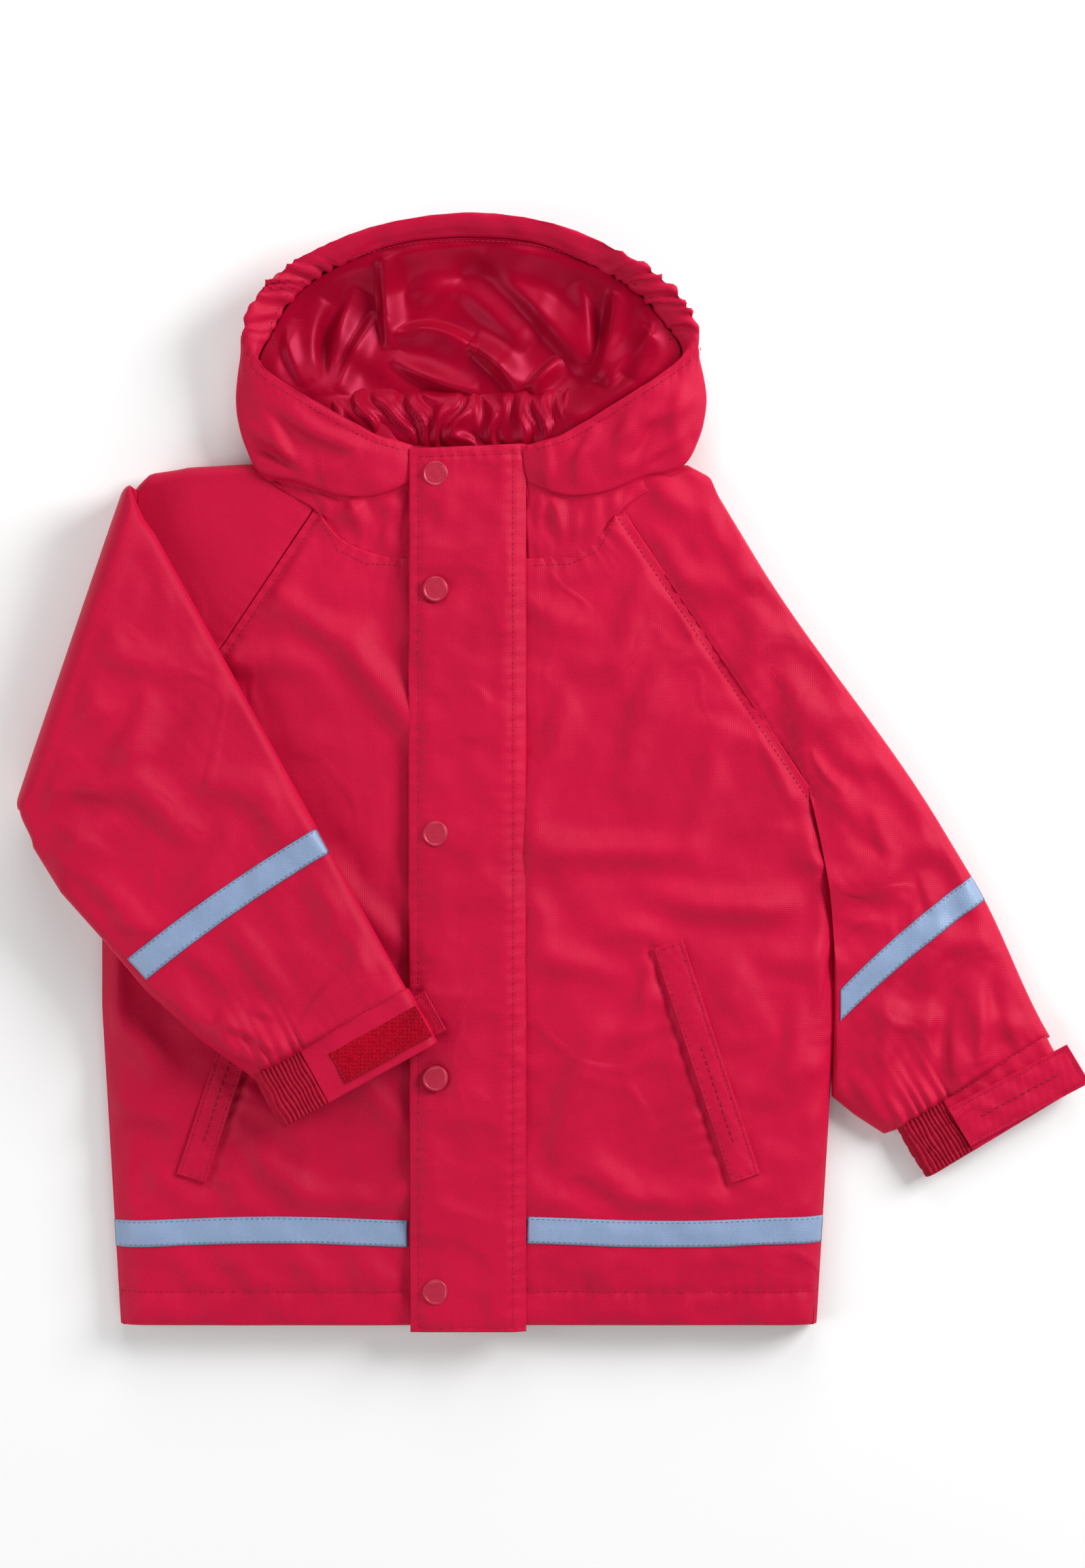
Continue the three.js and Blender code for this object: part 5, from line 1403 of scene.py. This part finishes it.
depth = edge[None, :, 2] * (1 - smooth(shares[..., 0], 0, 0.42)) + 10.5 * smooth(shares[..., 0], 0, 0.42)
x, y = bowl[..., 0], bowl[..., 1]
loose = settled(x, y, (-128, 132, 258, 376), [], 182, slack=0.07, bending=5.0, tallest=7.5, cell=4.0)
wrinkle = 1.25 * creases(x, y, liningFolds) + 1.6 * ripple(x, y, 60, 181) + hood["loose"] * loose
bowl[..., 2] = np.maximum(depth + wrinkle * smooth(shares[..., 0], 0.0, 0.12), 6.0)
lowBowl = bowl[::-1].copy()
lowBowl[..., 2] = np.minimum(5.2, lowBowl[..., 2] - 0.8)
lowBowl[-4:, :, 2] = bowl[:4][::-1][..., 2] - np.array([0.8, 0.8, 0.6, 0.2])[:, None]
rings = np.concatenate([lowBowl, bowl[1:]])
poles = np.array([[*centre, 5.2], [*centre, float(bowl[-1, :, 2].mean())]])
liningPiece = makeRings(
    "hood_lining_satin", rings, poles, liningSatin, "lining", bend=hoodBend, replaces=("hood_lining",)
)
declareSheet(liningPiece)

# The gathered strip inside the neck: a soft roll with ruffles, under the front of the rim.
neck = {
    "x": (-100.0, 126.0), "y": (247.0, 291.0), "low": 6.4, "rise": 14.5, "pitch": 15.0, "ends": 5.0,
    "finePitch": 7.3, "bow": 9.0,
}
u, v = stations(220, 1.7, 1.4), stations(44, 1.5, 1.4)
xs = neck["x"][0] + (neck["x"][1] - neck["x"][0]) * u[None] + 0 * v[:, None]
outward = ((xs - 14) / 110) ** 2
bowY = neck["bow"] * outward
ys = neck["y"][0] + bowY + (neck["y"][1] - neck["y"][0] - bowY * 0.3) * v[:, None]
hump = np.sin(np.pi * np.clip(v[:, None], 0.02, 0.98)) ** 0.6
wobble = 2.4 * ripple(xs, ys, 40, 191)
ruffle = 1.9 * np.cos(2 * np.pi * xs / neck["pitch"] + wobble)
ruffle += 1.1 * np.cos(2 * np.pi * (xs + 0.3 * ys) / neck["finePitch"] + 2 * wobble)
z = neck["low"] + neck["rise"] * hump * (0.86 + 0.14 * ripple(xs, ys, 50, 192)) + ruffle * hump
z += neck["ends"] * outward * hump
ys = ys + 1.5 * ripple(xs, 0 * xs, 22, 193) * smooth(v[:, None], 0.5, 1)
grid = np.stack([xs, ys, np.clip(z, 6.0, 25.0)], -1)
sheetPiece(
    "neck_strip", grid, 1.4, 0.6, liningSatin, "lining", body="torso", replaces=("neck_elastic",), soft="gathered"
)
hangLoop = {"behind": 3.0, "width": 6.0, "sag": 4.0, "height": 9.0}  # hidden under the gathered strip
low, high = boxOf("hang_loop")
u, v = stations(high[0] - low[0], 1.4, 0.6), stations(high[1] - low[1], 0.9, 0.6)
xs = low[0] + (high[0] - low[0]) * u[None] + 0 * v[:, None]
ys = high[1] + hangLoop["behind"] + hangLoop["width"] * v[:, None] - hangLoop["sag"] * (4 * (u - u**2))[None]
grid = np.stack([xs, ys, hangLoop["height"] + 0 * ys], -1)
sheetPiece("hang_loop_tape", grid, 1.0, 0.4, elasticCloth, "elastic", body="torso", replaces=("hang_loop",))

# Stitches along the rolled front of the rim, and round the crown's facing.
outward = inward * (-1, -1, 0)
front = np.flatnonzero((backness[:, 0] < 0.6) & (np.abs(rim[:, 0]) > 37))
for side in (-1, 1):
    reach = front[rim[front, 0] * side > 0]
    reach = reach[np.argsort(np.abs(rim[reach, 0]))]
    sew("stitches_hood", hoodShell[rollRows], (rim + outward * 4.5)[reach, :2], pitch=3.0)
backRim = np.flatnonzero(backness[:, 0] > 0.5)
sew("stitches_hood", hoodShell[facingRows], (rim + inward * 14.2)[backRim, :2], pitch=3.0)
print("hood made")

zipper = {"pitch": 2.4, "tooth": (3.1, 1.5, 1.5), "apart": 1.2, "bevel": 0.3}


def flatPiece(name, x0, x1, y0, y1, height, thick, material, slot, replaces, seed, wave=0.2):
    # a plain rectangle of cloth, hardly waved
    u, v = stations(x1 - x0, min(3.0, (x1 - x0) / 4), 0.5), stations(y1 - y0, 3.0, 0.5)
    flat = coons([(x0, y0), (x1, y0)], [(x1, y0), (x1, y1)], [(x0, y1), (x1, y1)], [(x0, y0), (x0, y1)], u, v)
    grid = np.concatenate([flat, np.full(flat.shape[:2] + (1,), height)], -1)
    relief = wave * ripple(flat[..., 0], flat[..., 1], 24, seed)
    return sheetPiece(name, grid, thick, 0.4, material, slot, relief, relief, body="torso", replaces=replaces)


for name, seed in (("left", 201), ("right", 202)):
    low, high = boxOf("zip_tape_" + name)
    flatPiece(
        "zip_tape_cloth_" + name, low[0], high[0], low[1], high[1], (low[2] + high[2]) / 2, 0.5, zipTape, "zip",
        ("zip_tape_" + name,), seed, 0.05,
    )
low, high = boxOf("snap_placket")
placketTop = flatPiece(
    "placket_cloth", low[0], high[0], low[1], high[1], (low[2] + high[2]) / 2, 0.9, shellCloth, "shell",
    ("snap_placket",), 203, 0.08,
)
sew("stitches_torso", placketTop, [(low[0] + 4, low[1] + 3), (low[0] + 4, high[1] - 3)])
stripY, stripHeight, stripThick = (neckY - 3, flapHigh[1] - 2.5), 15.4, 2.4
for name, x0, x1, seed in (("right", -34.5, body["zipEdges"][-1], 204),
                           ("left", body["zipEdges"][1], 38.0, 205)):
    flatPiece("front_strip_" + name, x0, x1, *stripY, stripHeight, stripThick, shellCloth, "shell", (), seed)
low, high = boxOf("zip_chain")
count = int((high[1] - low[1]) / zipper["pitch"])
k = np.arange(count)
side = np.where(k % 2 == 0, 1.0, -1.0)
long, wide, tall = zipper["tooth"]
block = np.array([(a, b, c) for a in (-0.5, 0.5) for b in (-0.5, 0.5) for c in (-0.5, 0.5)]) * (long, wide,
                                                                                                tall)
blockFaces = np.array([(0, 1, 3, 2), (4, 6, 7, 5), (0, 4, 5, 1), (2, 3, 7, 6), (0, 2, 6, 4), (1, 5, 7, 3)])
middle = (low + high) / 2
along = low[1] + (k + 0.5) * zipper["pitch"]
places = np.stack([middle[0] + side * zipper["apart"], along, np.full(count, middle[2])], -1)
points = (places[:, None] + block[None]).reshape(-1, 3)
faces = (np.arange(count)[:, None, None] * 8 + blockFaces[None]).reshape(-1, 4).tolist()
teeth = makePiece(
    "zip_teeth", points, faces, zipPlastic, "zip", body="torso", replaces=("zip_chain",), shade=False
)
bevel = teeth.modifiers.new("bevel", "BEVEL")
bevel.width, bevel.segments = zipper["bevel"] * mm, 1
for batch, ride in (
    ("torso", {"body": "torso"}),
    ("flap", {"bend": flapBend}),
    ("left_sleeve", {"body": "left_sleeve"}),
    ("left_cuff_tab", {"body": "left_cuff_tab"}),
    ("right_sleeve", {"body": "right_sleeve"}),
    ("hood", {"bend": hoodBend}),
):
    makeStitches("stitches_" + batch, thread, "shell", **ride)
for batch, ride in (("torso", {"body": "torso"}), ("left", {"bend": leftBend}),
                    ("right", {"body": "right_sleeve"})):
    makeStitches("stitches_tape_" + batch, tapeThread, "tape", **ride)
print("zip and stitching made")

light = {  # place and aim in metres, the lamp's side, its watts
    "key": ((1.35, 0.75, 0.9), (0.05, 0.0, 0), 0.8, 31),
    "fill": ((-1.35, -0.35, 1.0), (0, 0, 0), 1.1, 12),
    "top": ((0.0, 1.6, 0.9), (0, 0.1, 0), 1.2, 14),
    "front": ((0.1, -1.6, 0.9), (0, 0, 0), 1.2, 9),
}
worldLight = 0.16
for name, (place, aim, size, power) in light.items():
    data = bpy.data.lights.new(name, "AREA")
    data.size = size
    data.energy = power
    lamp = bpy.data.objects.new(name, data)
    scene.collection.objects.link(lamp)
    lamp.location = place
    lamp.rotation_euler = (Vector(aim) - Vector(place)).to_track_quat("-Z", "Y").to_euler()
world = bpy.data.worlds.new("studio")
scene.world = world
world.use_nodes = True
background = {"Color": (1, 0.99, 0.985, 1), "Strength": worldLight}
setInputs(world.node_tree, world.node_tree.nodes["Background"], background)
floorHalf, floorLevel = 6.0, -0.0006
floorMesh = bpy.data.meshes.new("floor")
floorCorners = [(a * floorHalf, b * floorHalf, floorLevel) for a, b in ((-1, -1), (1, -1), (1, 1), (-1, 1))]
floorMesh.from_pydata(floorCorners, [], [(0, 1, 2, 3)])
floor = bpy.data.objects.new("floor", floorMesh)
scene.collection.objects.link(floor)
paper, tree, shader = newMaterial("floor_paper")
setInputs(tree, shader, {"Base Color": (0.93, 0.93, 0.93, 1), "Roughness": 0.95})
floorMesh.materials.append(paper)
scene.view_settings.view_transform = "Standard"

# What is still the CAD's own solid gets the material of its slot.
cadFinish = {
    "shell": shellCloth, "lining": liningSatin, "elastic": elasticCloth, "loop": loopPile,
    "tape": reflectiveTape, "zip": zipPlastic, "snap": paintedSnap,
}
slotOf = {part["node"]: part.get("material_slot") for part in frame["record"]["subparts"] if "node" in part}
for name, node in nodes.items():
    if not node.hide_render:
        node.data.materials.clear()
        node.data.materials.append(cadFinish.get(slotOf.get(name), shellCloth))
print("left as CAD:", sorted(n for n, o in nodes.items() if not o.hide_render))
